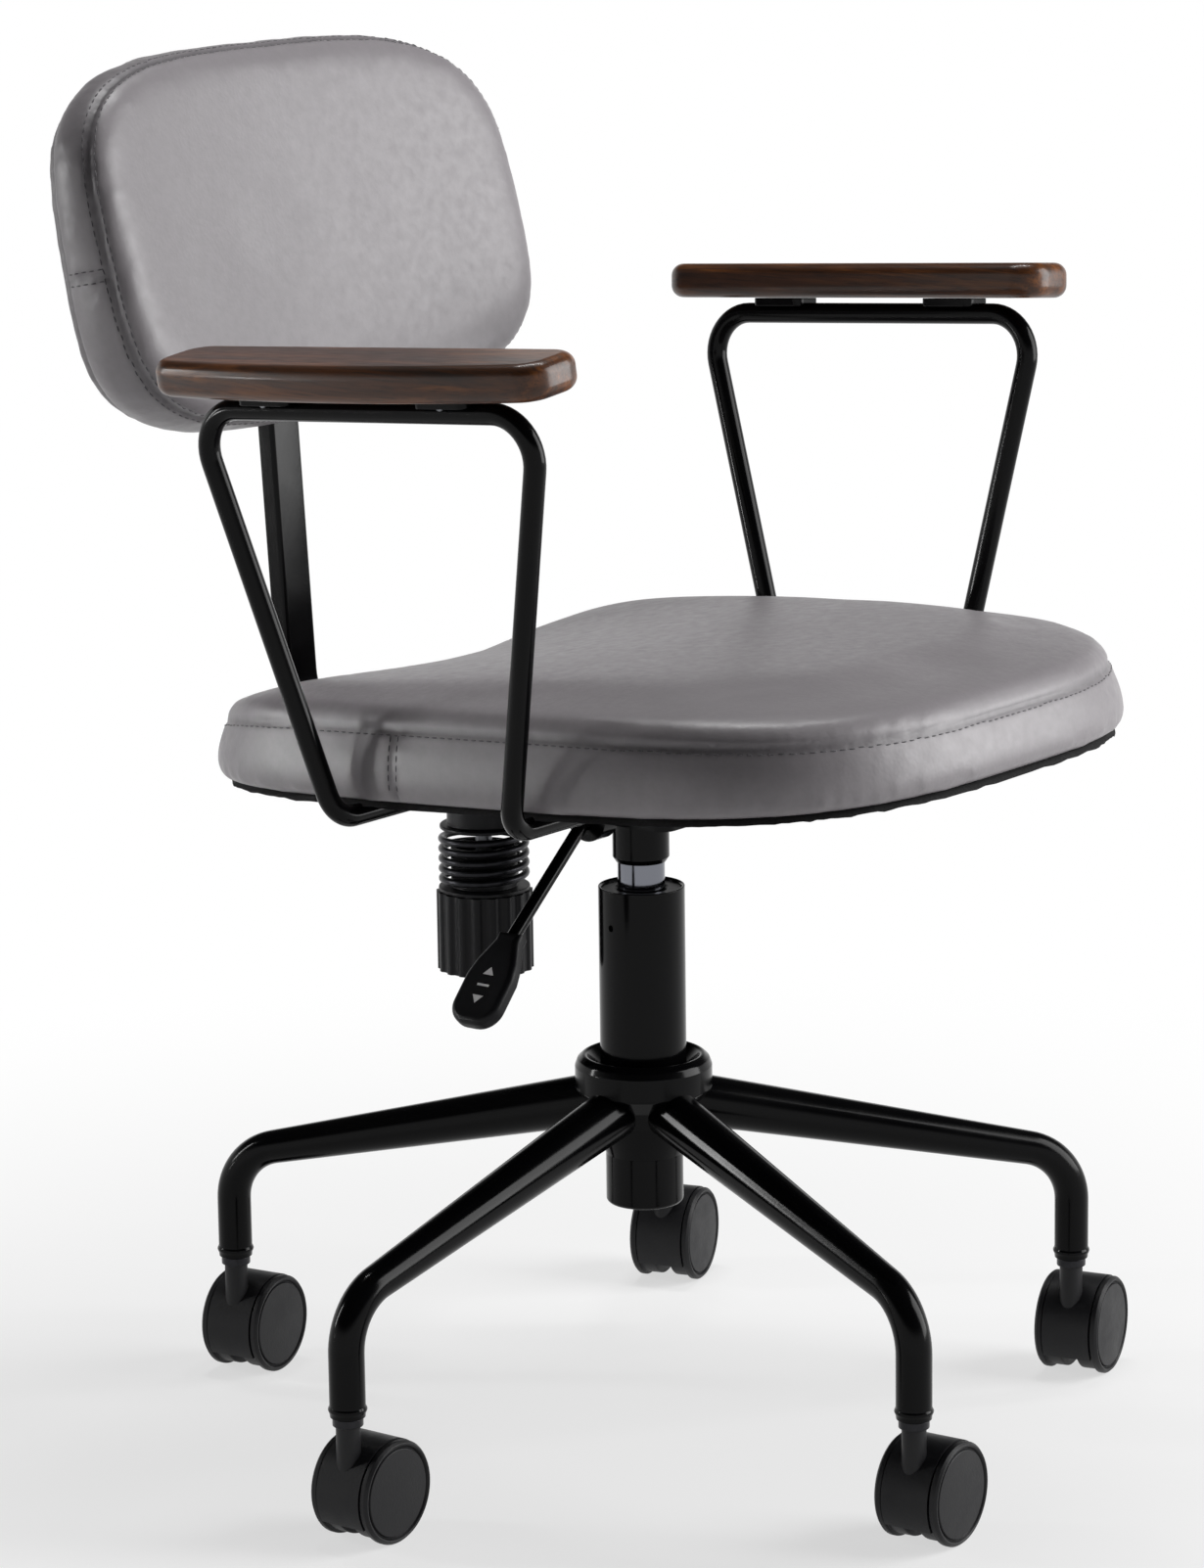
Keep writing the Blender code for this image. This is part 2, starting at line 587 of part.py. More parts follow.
turned("lift_guide_bush", [
    (tube_bore - FIT, bush_top), (tube_bore - FIT, bush_top - BUSH_LENGTH),
    (CYLINDER_RADIUS + RUN, bush_top - BUSH_LENGTH), (CYLINDER_RADIUS + RUN, bush_top - 0.0015),
    (CYLINDER_RADIUS + RUN + 0.0015, bush_top),
], 24, BLACK_PLASTIC, chair)
turned("lift_thrust_bearing", [
    (BEARING_RADIUS, bearing_bottom + BEARING_HEIGHT), (BEARING_RADIUS, bearing_bottom),
    (floor_hole, bearing_bottom), (floor_hole, bearing_bottom + BEARING_HEIGHT),
], 20, STEEL, chair)

# Gas lift, turning half: the piston rod stands on the bearing and is clipped under the floor
swivel = frame_at("swivel_axis", parent=chair)
shoulder = bearing_bottom + BEARING_HEIGHT + FIT
piston_top = bore_top - PISTON_HEADROOM
clip_top = tube_bottom - FIT
clip_bottom = clip_top - CLIP_HEIGHT
rod_end = clip_bottom - 0.0010
turned("lift_piston_rod", [
    (0, piston_top), (PISTON_RADIUS, piston_top), (PISTON_RADIUS, piston_top - PISTON_HEIGHT),
    (ROD_RADIUS, piston_top - PISTON_HEIGHT), (ROD_RADIUS, shoulder + 0.0040),
    (ROD_SHOULDER, shoulder + 0.0040), (ROD_SHOULDER, shoulder), (ROD_NECK, shoulder),
    (ROD_NECK, rod_end), (0, rod_end),
], 16, STEEL, swivel)
turned("lift_rod_clip", [
    (CLIP_RADIUS, clip_top), (CLIP_RADIUS, clip_bottom), (ROD_NECK + FIT, clip_bottom),
    (ROD_NECK + FIT, clip_top),
], 16, STEEL, swivel)

# Gas lift, rising half: chrome cylinder with a tapered top, its rod guide and the release pin
lift = frame_at("lift_axis", parent=swivel)
taper_top = CYLINDER_RADIUS - TAPER_DRAFT
pin_bottom = pin_top - PIN_LENGTH
pin_hole_bottom = pin_bottom - 0.0050
turned("lift_cylinder", [
    (0, pin_hole_bottom), (PIN_RADIUS + FIT, pin_hole_bottom), (PIN_RADIUS + FIT, cylinder_top),
    (taper_top - 0.0010, cylinder_top), (taper_top, cylinder_top - 0.0010),
    (CYLINDER_RADIUS, socket_bottom), (CYLINDER_RADIUS, cylinder_bottom + 0.0010),
    (CYLINDER_RADIUS - 0.0010, cylinder_bottom), (CYLINDER_BORE, cylinder_bottom),
    (CYLINDER_BORE, bore_top), (0, bore_top),
], 24, CHROME, lift)
turned("lift_rod_guide", [
    (CYLINDER_BORE - FIT, cylinder_bottom + GLAND_HEIGHT), (CYLINDER_BORE - FIT, cylinder_bottom),
    (ROD_RADIUS + FIT, cylinder_bottom), (ROD_RADIUS + FIT, cylinder_bottom + GLAND_HEIGHT),
], 20, BLACK_PLASTIC, lift)
turned("lift_release_pin", [
    (0, pin_top), (PIN_RADIUS - 0.0010, pin_top), (PIN_RADIUS, pin_top - 0.0010),
    (PIN_RADIUS, pin_bottom), (0, pin_bottom),
], 12, STEEL, lift)

# Mechanism housing: a pressed tray with a taper socket below and a boss for the lever
raked = Matrix.Translation((0, 0, plate_level)) @ Matrix.Rotation(-SEAT_RAKE, 4, "X")
tall = 2 * HOUSING_HEIGHT
outside = rounded_rectangle(-HOUSING_HALF_WIDTH, HOUSING_HALF_WIDTH, -HOUSING_FRONT,
                            HOUSING_REAR, HOUSING_CORNER, 4)
housing = slab("mechanism_housing", outside, housing_floor, housing_floor + tall, POWDER_COAT, lift)
bore_half = HOUSING_HALF_WIDTH - HOUSING_WALL
inside = rounded_rectangle(-bore_half, bore_half, HOUSING_WALL - HOUSING_FRONT,
                           HOUSING_REAR + HOUSING_CORNER * 2, HOUSING_CORNER - HOUSING_WALL, 4)
cut(housing, slab("tray_room", inside, housing_floor + HOUSING_WALL, housing_floor + tall * 2),
    block("above_plate", (-1, -1, -FIT), (1, 1, tall * 3), raked))
lever_side = Matrix.Rotation(-math.pi / 2, 4, "Y")
lever_knee = lever_pivot_out - 0.0125
lever_pivot_level = lever_level - (lever_pivot_out - lever_knee) * math.tan(LEVER_DROOP)
boss_place = Matrix.Translation((0, 0, lever_pivot_level - LEVER_RADIUS * 1.4)) @ lever_side
socket_radius = CYLINDER_RADIUS + FIT + SOCKET_WALL
socket_top = housing_floor + SOCKET_INSIDE
join(housing,
     turned("socket", [(0, socket_top), (socket_radius, socket_top),
                       (socket_radius, socket_bottom + 0.0030),
                       (socket_radius - 0.0020, socket_bottom), (0, socket_bottom)], 24),
     rod("lever_boss", LEVER_BOSS_RADIUS, bore_half, HOUSING_HALF_WIDTH + LEVER_BOSS_LENGTH, 20,
         boss_place))
lever_aim = (Matrix.Translation((-lever_pivot_out, 0, lever_pivot_level))
             @ Matrix.Rotation(LEVER_DROOP, 4, "Y").inverted() @ lever_side)
pin_line = Matrix.Translation((0, PIVOT_REACH, pivot_level)) @ Matrix.Rotation(math.pi / 2, 4, "Y")
past_taper = TAPER_LENGTH + 0.02
draft = TAPER_DRAFT / TAPER_LENGTH
cut(housing,
    turned("taper_bore", [(0, socket_bottom + past_taper),
                          (CYLINDER_RADIUS + FIT - draft * past_taper, socket_bottom + past_taper),
                          (CYLINDER_RADIUS + FIT + draft * 0.01, socket_bottom - 0.01),
                          (0, socket_bottom - 0.01)], 24),
    rod("lever_hole", LEVER_RADIUS + LEVER_PLAY, -0.030, 0.030, 16, lever_aim),
    rod("pivot_hole", PIVOT_RADIUS + FIT, -2 * HOUSING_HALF_WIDTH, 2 * HOUSING_HALF_WIDTH, 16, pin_line))
pin_half = HOUSING_HALF_WIDTH + FIT + PIVOT_HEAD
head_start = HOUSING_HALF_WIDTH + FIT
turned("back_pivot_pin", [
    (0, pin_half), (PIVOT_RADIUS + 0.0015, pin_half), (PIVOT_RADIUS + 0.0030, pin_half - 0.0015),
    (PIVOT_RADIUS + 0.0030, head_start), (PIVOT_RADIUS, head_start), (PIVOT_RADIUS, -head_start),
    (PIVOT_RADIUS + 0.0030, -head_start), (PIVOT_RADIUS + 0.0030, -pin_half + 0.0015),
    (PIVOT_RADIUS + 0.0015, -pin_half), (0, -pin_half),
], 14, STEEL, lift, turn=pin_line)

# Height lever: a cranked rod that rocks in the boss and presses the release pin
lever = frame_at("lever_axis", (-lever_pivot_out, 0, lever_pivot_level), parent=lift)
to_lever = Matrix.Translation((lever_pivot_out, 0, -lever_pivot_level))
joint_x = -(lever_pivot_out + LEVER_ROD_RUN)
joint_z = lever_pivot_level - LEVER_ROD_RUN * math.tan(LEVER_DROOP)
rod_tail = GRIP_SOCKET - FIT
tail_end = (joint_x - rod_tail * math.cos(GRIP_DROOP), 0, joint_z - rod_tail * math.sin(GRIP_DROOP))
lever_line = bent_path([(LEVER_TIP, 0, lever_level), (-lever_knee, 0, lever_level),
                        (joint_x, 0, joint_z), tail_end], [LEVER_BEND, LEVER_BEND], 4)
lever_rod = tube("lever_rod", lever_line, [LEVER_RADIUS] * len(lever_line), POWDER_COAT, lever)
lever_rod.data.transform(to_lever)
half_neck = GRIP_NECK / 2
half_grip = GRIP_WIDTH / 2
end_round = half_grip * 0.8
grip_outline = [(0, -half_neck), (GRIP_FLARE, -half_grip * 0.86)]
grip_outline += arc((GRIP_LENGTH - end_round, -half_grip + end_round), end_round,
                    -math.pi / 2, 0, 5)
grip_outline += arc((GRIP_LENGTH - end_round, half_grip - end_round), end_round,
                    0, math.pi / 2, 5)
grip_outline += [(GRIP_FLARE, half_grip * 0.86), (0, half_neck)]
grip_place = (Matrix.Translation((joint_x, 0, joint_z)) @ Matrix.Rotation(math.pi, 4, "Z")
              @ Matrix.Rotation(GRIP_DROOP, 4, "Y"))
grip = slab("lever_grip", grip_outline, -GRIP_THICKNESS / 2, GRIP_THICKNESS / 2, BLACK_PLASTIC,
            lever, edge=0.0025, turn=to_lever @ grip_place)
deeper = bent_path([(LEVER_TIP, 0, lever_level), (-lever_knee, 0, lever_level),
                    (joint_x, 0, joint_z),
                    (joint_x - GRIP_SOCKET * math.cos(GRIP_DROOP), 0,
                     joint_z - GRIP_SOCKET * math.sin(GRIP_DROOP))], [LEVER_BEND, LEVER_BEND], 4)
socket_tool = tube("grip_socket", deeper, [LEVER_RADIUS + FIT] * len(deeper))
socket_tool.data.transform(to_lever)
cut(grip, socket_tool)

# Tension bolt, hung from the seat plate, with its fluted knob and a washer that guides the spring
bolt_axis = Matrix.Translation((0, SPRING_REACH, 0))
bolt_room = (SPRING_REACH + BOLT_HEAD_RADIUS) * math.tan(SEAT_RAKE)
bolt_top = plate_level - bolt_room - FIT
bolt_end = knob_bottom + KNOB_FLOOR + FIT
turned("tension_bolt", [
    (0, bolt_top), (BOLT_HEAD_RADIUS, bolt_top), (BOLT_HEAD_RADIUS, bolt_top - BOLT_HEAD_HEIGHT),
    (BOLT_RADIUS, bolt_top - BOLT_HEAD_HEIGHT), (BOLT_RADIUS, bolt_end), (0, bolt_end),
], 14, STEEL, lift, turn=bolt_axis)
knob_frame = frame_at("knob_axis", (0, SPRING_REACH, 0), parent=lift)
washer_radius = SPRING_RADIUS + SPRING_WIRE / 2
washer_bottom = knob_top + FIT
washer_top = washer_bottom + WASHER_THICKNESS
guide_top = washer_top + GUIDE_SHARE * SPRING_LENGTH
turned("tension_washer", [
    (washer_radius, washer_top), (washer_radius, washer_bottom), (BOLT_RADIUS + RUN, washer_bottom),
    (BOLT_RADIUS + RUN, washer_top), (GUIDE_RADIUS - GUIDE_WALL, washer_top),
    (GUIDE_RADIUS - GUIDE_WALL, guide_top), (GUIDE_RADIUS, guide_top), (GUIDE_RADIUS, washer_top),
], 18, BLACK_PLASTIC, knob_frame)
flute_step = 2 * math.pi / KNOB_FLUTES
flute_shares = ((0.0, 0.0), (0.34, 0.0), (0.5, 1.0), (0.84, 1.0))
knob_outline = []
for flute in range(KNOB_FLUTES):
    for share, depth in flute_shares:
        a = (flute + share) * flute_step
        r = KNOB_RADIUS - depth * KNOB_FLUTE_DEPTH
        knob_outline.append((r * math.cos(a), r * math.sin(a)))
shrink = 1 - KNOB_EDGE / KNOB_RADIUS
knob_rings = [[(x * s, y * s, z) for x, y in knob_outline] for s, z in
              ((shrink, knob_bottom), (1.0, knob_bottom + KNOB_EDGE),
               (1.0, knob_top - 0.0010), (1 - 0.0010 / KNOB_RADIUS, knob_top))]
knob = loft("tension_knob", knob_rings, BLACK_PLASTIC, knob_frame)
cut(knob, rod("bolt_bore", BOLT_RADIUS + RUN, knob_bottom + KNOB_FLOOR, knob_top + 0.01, 14))

# Tension spring: one unbroken helix of round wire, its ends drawn out straight
helix_rise = SPRING_LENGTH - SPRING_WIRE
helix_start = spring_bottom + SPRING_WIRE / 2
turn_points = SPRING_TURNS * SPRING_POINTS
helix = []
for i in range(turn_points + 1):
    a = 2 * math.pi * i / SPRING_POINTS
    helix.append(Vector((SPRING_RADIUS * math.cos(a), SPRING_RADIUS * math.sin(a),
                         helix_start + helix_rise * i / turn_points)))
lead_in = helix[0] + Vector((0, -SPRING_WIRE, 0))
lead_out = helix[-1] + Vector((0, SPRING_WIRE, 0))
wire_line = [lead_in] + helix + [lead_out]
tube("tension_spring", wire_line, [SPRING_WIRE / 2] * len(wire_line), SPRING_STEEL, knob_frame,
     roundness=1)
half_turn = SPRING_POINTS // 2
wire_gap = min((a - b).length for i, a in enumerate(wire_line)
               for b in wire_line[i + half_turn:]) - SPRING_WIRE
print(f"tension spring: least gap between turns {wire_gap * 1000:.2f} mm")

# Seat plate, raked with the whole seat, bolted up through the dust cover into the board
seat = frame_at("seat_frame", (0, 0, seat_level), (-SEAT_RAKE, 0, 0), parent=lift)
plate_top = -DUST_COVER_THICKNESS - 2 * FIT
plate = slab("seat_plate", rounded_rectangle(-PLATE_HALF_WIDTH, PLATE_HALF_WIDTH, -PLATE_FRONT,
                                             PLATE_REAR, PLATE_CORNER, 4),
             plate_top - PLATE_THICKNESS, plate_top, POWDER_COAT, seat)
for x in (-1, 1):
    for y in (PLATE_HOLE_INSET - PLATE_FRONT, PLATE_REAR - PLATE_HOLE_INSET):
        place = Matrix.Translation((x * (PLATE_HALF_WIDTH - PLATE_HOLE_INSET), y, 0))
        cut(plate, rod("bolt_hole", PLATE_HOLE_RADIUS, -0.02, 0.02, 10, place))


# Seat: plywood board, dust cover below it, and the padded cover wrapped over its edge
def seat_outline(inset):
    """Outline of the seat, drawn in evenly, around the column axis."""
    points = pillow_outline(SEAT_HALF_WIDTH - inset, SEAT_FRONT - SEAT_WIDEST - inset,
                            SEAT_REAR + SEAT_WIDEST - inset, SEAT_SQUARE_FRONT, SEAT_SQUARE_REAR)
    return [(x, y - SEAT_WIDEST) for x, y in points]


def saddle(x, y):
    """How far the top sinks towards the middle of the rear edge and along the front."""
    behind = max(0.0, (y + SEAT_WIDEST) / (SEAT_REAR + SEAT_WIDEST))
    ahead = max(0.0, -(y + SEAT_WIDEST) / (SEAT_FRONT - SEAT_WIDEST))
    middle = 1 - (x / SEAT_HALF_WIDTH) ** 2
    return SEAT_SADDLE * middle * behind ** 1.6 + SEAT_WATERFALL * ahead ** 2


slab("seat_board", seat_outline(SEAT_BOARD_INSET), 0, SEAT_BOARD_THICKNESS, PLYWOOD, seat)
slab("seat_dust_cover", seat_outline(DUST_COVER_INSET), -DUST_COVER_THICKNESS - FIT, -FIT,
     DUST_CLOTH, seat)
roof = SEAT_BOARD_THICKNESS + FIT
recess = SEAT_BOARD_INSET - FIT
seam = SEAT_SEAM_HEIGHT
seat_rings = [
    (recess * 8, roof), (recess, roof), (recess, 0.0), (0.004, 0.0), (0.0, 0.004),
    (0.0005, seam * 0.35), (SEAT_DRAFT * 0.6, seam * 0.72), (SEAT_DRAFT, seam * 0.97),
    (SEAT_DRAFT + 0.0015, seam), (SEAT_DRAFT + 0.0005, seam + SEAT_CROWN * 0.12),
    (SEAT_DRAFT + 0.003, seam + SEAT_CROWN * 0.48), (SEAT_DRAFT + 0.010, seam + SEAT_CROWN * 0.76),
    (SEAT_DRAFT + 0.028, seam + SEAT_CROWN * 0.91), (SEAT_DRAFT + 0.070, seam + SEAT_CROWN * 0.97),
    (SEAT_DRAFT + 0.125, seam + SEAT_CROWN),
]
cover = []
for inset, height in seat_rings[:2]:
    cover.append([(x, y, height) for x, y in seat_outline(inset)])
for inset, height in seat_rings[2:]:
    share = min(1.0, height / seam)
    cover.append([(x, y, height - share * saddle(x, y)) for x, y in seat_outline(inset)])
loft("seat_cushion", cover, LEATHERETTE, seat)

# Back bar: a flat bar that hinges in the housing, runs back under the seat and turns up
back = frame_at("back_pivot", (0, PIVOT_REACH, pivot_level), parent=lift)
upright = Vector((0, math.sin(BAR_LEAN), math.cos(BAR_LEAN)))
recline = Vector((0, math.sin(BACK_RECLINE), math.cos(BACK_RECLINE)))
forward = Vector((0, -recline.z, recline.y))
bar_foot = Vector((0, BAR_REACH - PIVOT_REACH, 0))
bar_knee = bar_foot + upright * (BAR_KNEE / upright.z)


def flat_bar(name, grow, material=None, parent=None):
    """The bent flat bar, or its room when it is grown by a clearance."""
    line = bent_path([(0, 0, 0), bar_foot, bar_knee, bar_knee + recline * (BAR_END + grow)],
                     [BAR_BEND, BAR_KNEE_BEND], 5)
    steps = [(b - a).normalized() for a, b in zip(line, line[1:])]
    ways = [(a + b).normalized() for a, b in zip(steps[:1] + steps, steps + steps[-1:])]
    half = BAR_DEPTH / 2 + grow
    upper = [p + Vector((0, -d.z, d.y)) * half for p, d in zip(line, ways)]
    lower = [p - Vector((0, -d.z, d.y)) * half for p, d in zip(line, ways)]
    outline = [(p.y, p.z) for p in lower + upper[::-1]]
    on_edge = Matrix(((0, 0, 1, 0), (1, 0, 0, 0), (0, 1, 0, 0), (0, 0, 0, 1)))
    half_width = BAR_WIDTH / 2 + grow
    return slab(name, outline, -half_width, half_width, material, parent, edge=BAR_EDGE,
                turn=on_edge)


bar = flat_bar("back_bar", 0.0, POWDER_COAT, back)
across = Matrix.Rotation(math.pi / 2, 4, "Y")
sleeve_half = bore_half - RUN
join(bar, rod("sleeve", PIVOT_SLEEVE_RADIUS, -sleeve_half, sleeve_half, 18, across))
cut(bar, rod("sleeve_bore", PIVOT_RADIUS + FIT, -2 * sleeve_half, 2 * sleeve_half, 16, across),
    rod("bolt_slot", BOLT_RADIUS + 4 * RUN, -0.03, 0.03, 14,
        Matrix.Translation((0, SPRING_REACH - PIVOT_REACH, 0))))
from_pivot = -pivot_level
turned("spring_cap", [
    (CAP_RADIUS, bar_bottom - FIT + from_pivot), (CAP_RADIUS, cap_bottom + CAP_FLANGE + from_pivot),
    (SPRING_RADIUS + 0.0010, cap_bottom + CAP_FLANGE + from_pivot),
    (SPRING_RADIUS + 0.0010, cap_bottom + from_pivot), (CAP_BORE, cap_bottom + from_pivot),
    (CAP_BORE, bar_bottom - FIT + from_pivot),
], 24, BLACK_PLASTIC, back, turn=Matrix.Translation((0, SPRING_REACH - PIVOT_REACH, 0)))

# Backrest frame: X across, Y up along the recline, Z forward out of the front panel
panel_middle = bar_knee + recline * BACK_ABOVE_KNEE + forward * BAR_SET_BACK
panel_turn = math.pi / 2 - BACK_RECLINE
panel = frame_at("backrest_frame", panel_middle, (panel_turn, 0, 0), parent=back)


def back_outline(inset):
    """Outline of the backrest, drawn in evenly and flared towards its lower edge."""
    points = pillow_outline(BACK_HALF_WIDTH - inset, BACK_HALF_HEIGHT - inset,
                            BACK_HALF_HEIGHT - inset, BACK_SQUARE, BACK_SQUARE)
    return [(x * (1 - BACK_FLARE * y / BACK_HALF_HEIGHT), y) for x, y in points]


def wrap(x):
    """How far the backrest comes forward towards its sides."""
    return BACK_WRAP * (x / BACK_HALF_WIDTH) ** 2


def strip_wrap(x):
    """The same curve for the board, straight within each of its strips."""
    width = 2 * BACK_HALF_WIDTH / BACK_BOARD_STRIPS
    low = math.floor(x / width) * width
    share = (x - low) / width
    return wrap(low) * (1 - share) + wrap(low + width) * share


def curved_board(name, grow, material=None, parent=None):
    """The bent plywood board, or its pocket when it is grown by a clearance."""
    bm = bmesh.new()
    low = BAR_DEPTH / 2 - BAR_SET_BACK + FIT - grow
    outline = back_outline(BACK_BOARD_INSET - grow)
    bm.faces.new([bm.verts.new((x, y, low)) for x, y in outline])
    for strip in range(1, BACK_BOARD_STRIPS):
        everything = bm.verts[:] + bm.edges[:] + bm.faces[:]
        crease = (2 * strip / BACK_BOARD_STRIPS - 1) * BACK_HALF_WIDTH
        bmesh.ops.bisect_plane(bm, geom=everything, dist=1e-7, plane_no=(1, 0, 0),
                               plane_co=(crease, 0, 0))
    raised = bmesh.ops.extrude_face_region(bm, geom=bm.faces[:])
    moved = [v for v in raised["geom"] if isinstance(v, bmesh.types.BMVert)]
    bmesh.ops.translate(bm, verts=moved, vec=(0, 0, BACK_BOARD_THICKNESS + 2 * grow))
    for v in bm.verts:
        v.co.z += strip_wrap(v.co.x)
    return as_object(name, bm, material, parent)


# Backrest: bent plywood board bolted to the bar, inside a padded boxed cover
curved_board("back_board", 0.0, PLYWOOD, panel)
half_box = BACK_BOXING / 2
back_rings = [
    (0.095, half_box + BACK_FRONT_CROWN), (0.060, half_box + BACK_FRONT_CROWN * 0.96),
    (0.030, half_box + BACK_FRONT_CROWN * 0.84), (0.014, half_box + BACK_FRONT_CROWN * 0.58),
    (0.0075, half_box + BACK_FRONT_CROWN * 0.24), (0.0055, half_box),
    (0.0075, half_box - 0.0015), (0.0050, half_box - 0.0030), (0.0005, half_box * 0.30),
    (0.0005, -half_box * 0.45), (0.0065, -half_box), (0.0090, -half_box - BACK_REAR_CROWN * 0.18),
    (0.022, -half_box - BACK_REAR_CROWN * 0.50), (0.050, -half_box - BACK_REAR_CROWN * 0.85),
    (0.095, -half_box - BACK_REAR_CROWN),
]
padding = []
for inset, depth in back_rings:
    padding.append([(x, y, depth * (1 - BACK_WEDGE * y / BACK_HALF_HEIGHT) + wrap(x))
                    for x, y in back_outline(inset)])
back_cushion = loft("back_cushion", padding, LEATHERETTE, panel)
bar_room = flat_bar("bar_room", FIT)
into_panel = Matrix.Translation(panel_middle) @ Matrix.Rotation(panel_turn, 4, "X")
bar_room.data.transform(into_panel.inverted())
cut(back_cushion, curved_board("board_pocket", FIT), bar_room)

# Arm loops: one bent tube each, with a foot plate under the seat and tabs for the pad
arm_foot_level = plate_top - FOOT_PLATE_THICKNESS * 0.2 - ARM_TUBE
arm_rise = ARM_TOP_HEIGHT - arm_foot_level
arm_lean = math.atan2(arm_top_out - arm_foot_out, arm_rise)
bar_middle = (ARM_TOP_REAR - ARM_TOP_FRONT) / 2
bow_radius = ((PAD_LENGTH / 2) ** 2 + PAD_BOW ** 2) / (2 * PAD_BOW)
bow_centre = PAD_WIDTH / 2 - bow_radius
corner_y = PAD_LENGTH / 2 - PAD_CORNER
corner_x = bow_centre + math.sqrt((bow_radius - PAD_CORNER) ** 2 - corner_y ** 2)
bow_end = math.atan2(corner_y, corner_x - bow_centre)
quarter = math.pi / 2
straight_x = PAD_CORNER - PAD_WIDTH / 2
pad_plan = arc((bow_centre, 0), bow_radius, -bow_end, bow_end, 8)
pad_plan += arc((corner_x, corner_y), PAD_CORNER, bow_end, quarter, 5)[1:]
pad_plan += arc((straight_x, corner_y), PAD_CORNER, quarter, 2 * quarter, 5)
pad_plan += arc((straight_x, -corner_y), PAD_CORNER, 2 * quarter, 3 * quarter, 5)
pad_plan += arc((corner_x, -corner_y), PAD_CORNER, -quarter, -bow_end, 5)[:-1]
for label, side in (("left", 1), ("right", -1)):
    corners = [(ARM_RUN_END, -ARM_FOOT_FRONT, arm_foot_level),
               (arm_foot_out, -ARM_FOOT_FRONT, arm_foot_level),
               (arm_top_out, -ARM_TOP_FRONT, ARM_TOP_HEIGHT),
               (arm_top_out, ARM_TOP_REAR, ARM_TOP_HEIGHT),
               (arm_foot_out, ARM_FOOT_REAR, arm_foot_level),
               (ARM_RUN_END, ARM_FOOT_REAR, arm_foot_level)]
    bends = [ARM_FOOT_BEND, ARM_BEND, ARM_BEND, ARM_FOOT_BEND]
    line = bent_path([(side * x, y, z) for x, y, z in corners], bends, 4)
    loop = tube(f"arm_loop_{label}", line, [ARM_TUBE] * len(line), POWDER_COAT, seat)
    plate_x = sorted((side * (ARM_RUN_END - 0.002), side * (ARM_RUN_END + FOOT_PLATE_WIDTH)))
    foot_plate = slab("foot_plate", rounded_rectangle(
        *plate_x, -ARM_FOOT_FRONT - FOOT_PLATE_BEYOND, ARM_FOOT_REAR + FOOT_PLATE_BEYOND, 0.006, 3),
        plate_top - FOOT_PLATE_THICKNESS, plate_top)
    pad_frame = frame_at(f"arm_pad_frame_{label}", (side * arm_top_out, bar_middle, ARM_TOP_HEIGHT),
                         (0, side * arm_lean, 0), seat)
    leaning = (Matrix.Translation((side * arm_top_out, bar_middle, ARM_TOP_HEIGHT))
               @ Matrix.Rotation(side * arm_lean, 4, "Y"))
    tab_ends = (ARM_TOP_FRONT + ARM_TOP_REAR) / 2 - TAB_INSET - TAB_LENGTH / 2
    tab_top = ARM_TUBE + TAB_RISE
    tabs = [slab("tab", rounded_rectangle(-TAB_WIDTH / 2, TAB_WIDTH / 2, y - TAB_LENGTH / 2,
                                          y + TAB_LENGTH / 2, 0.005, 3),
                 ARM_TUBE * 0.7, tab_top, turn=leaning) for y in (-tab_ends, tab_ends)]
    join(loop, foot_plate, *tabs)
    pad_bottom = tab_top + FIT
    plan = [(side * x, y) for x, y in pad_plan][::side]
    slab(f"arm_pad_{label}", plan, pad_bottom, pad_bottom + PAD_THICKNESS, WALNUT, pad_frame,
         edge=PAD_EDGE)

# Joint places, for whoever fits this chair into another frame
bpy.context.view_layer.update()
axes = {"swivel and lift": swivel, "lever": lever, "back tilt": back, "knob": knob_frame}
for number, caster in enumerate(caster_frames, 1):
    axes[f"caster {number} swivel"] = caster
    axes[f"caster {number} wheels"] = bpy.data.objects[f"axle_frame_{number}"]
for label, empty in axes.items():
    place = empty.matrix_world.translation
    print(f"{label}: {place.x:.5f}, {place.y:.5f}, {place.z:.5f}")
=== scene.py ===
"""Looks of a swivel office chair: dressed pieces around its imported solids.

Metres, +Z up. The swivel axis is Z, the floor is at zero and the sitter faces -Y.
"""
import json
import math

import bmesh
import bpy
from mathutils import Matrix, Vector, noise
from mathutils.bvhtree import BVHTree
from mathutils.kdtree import KDTree

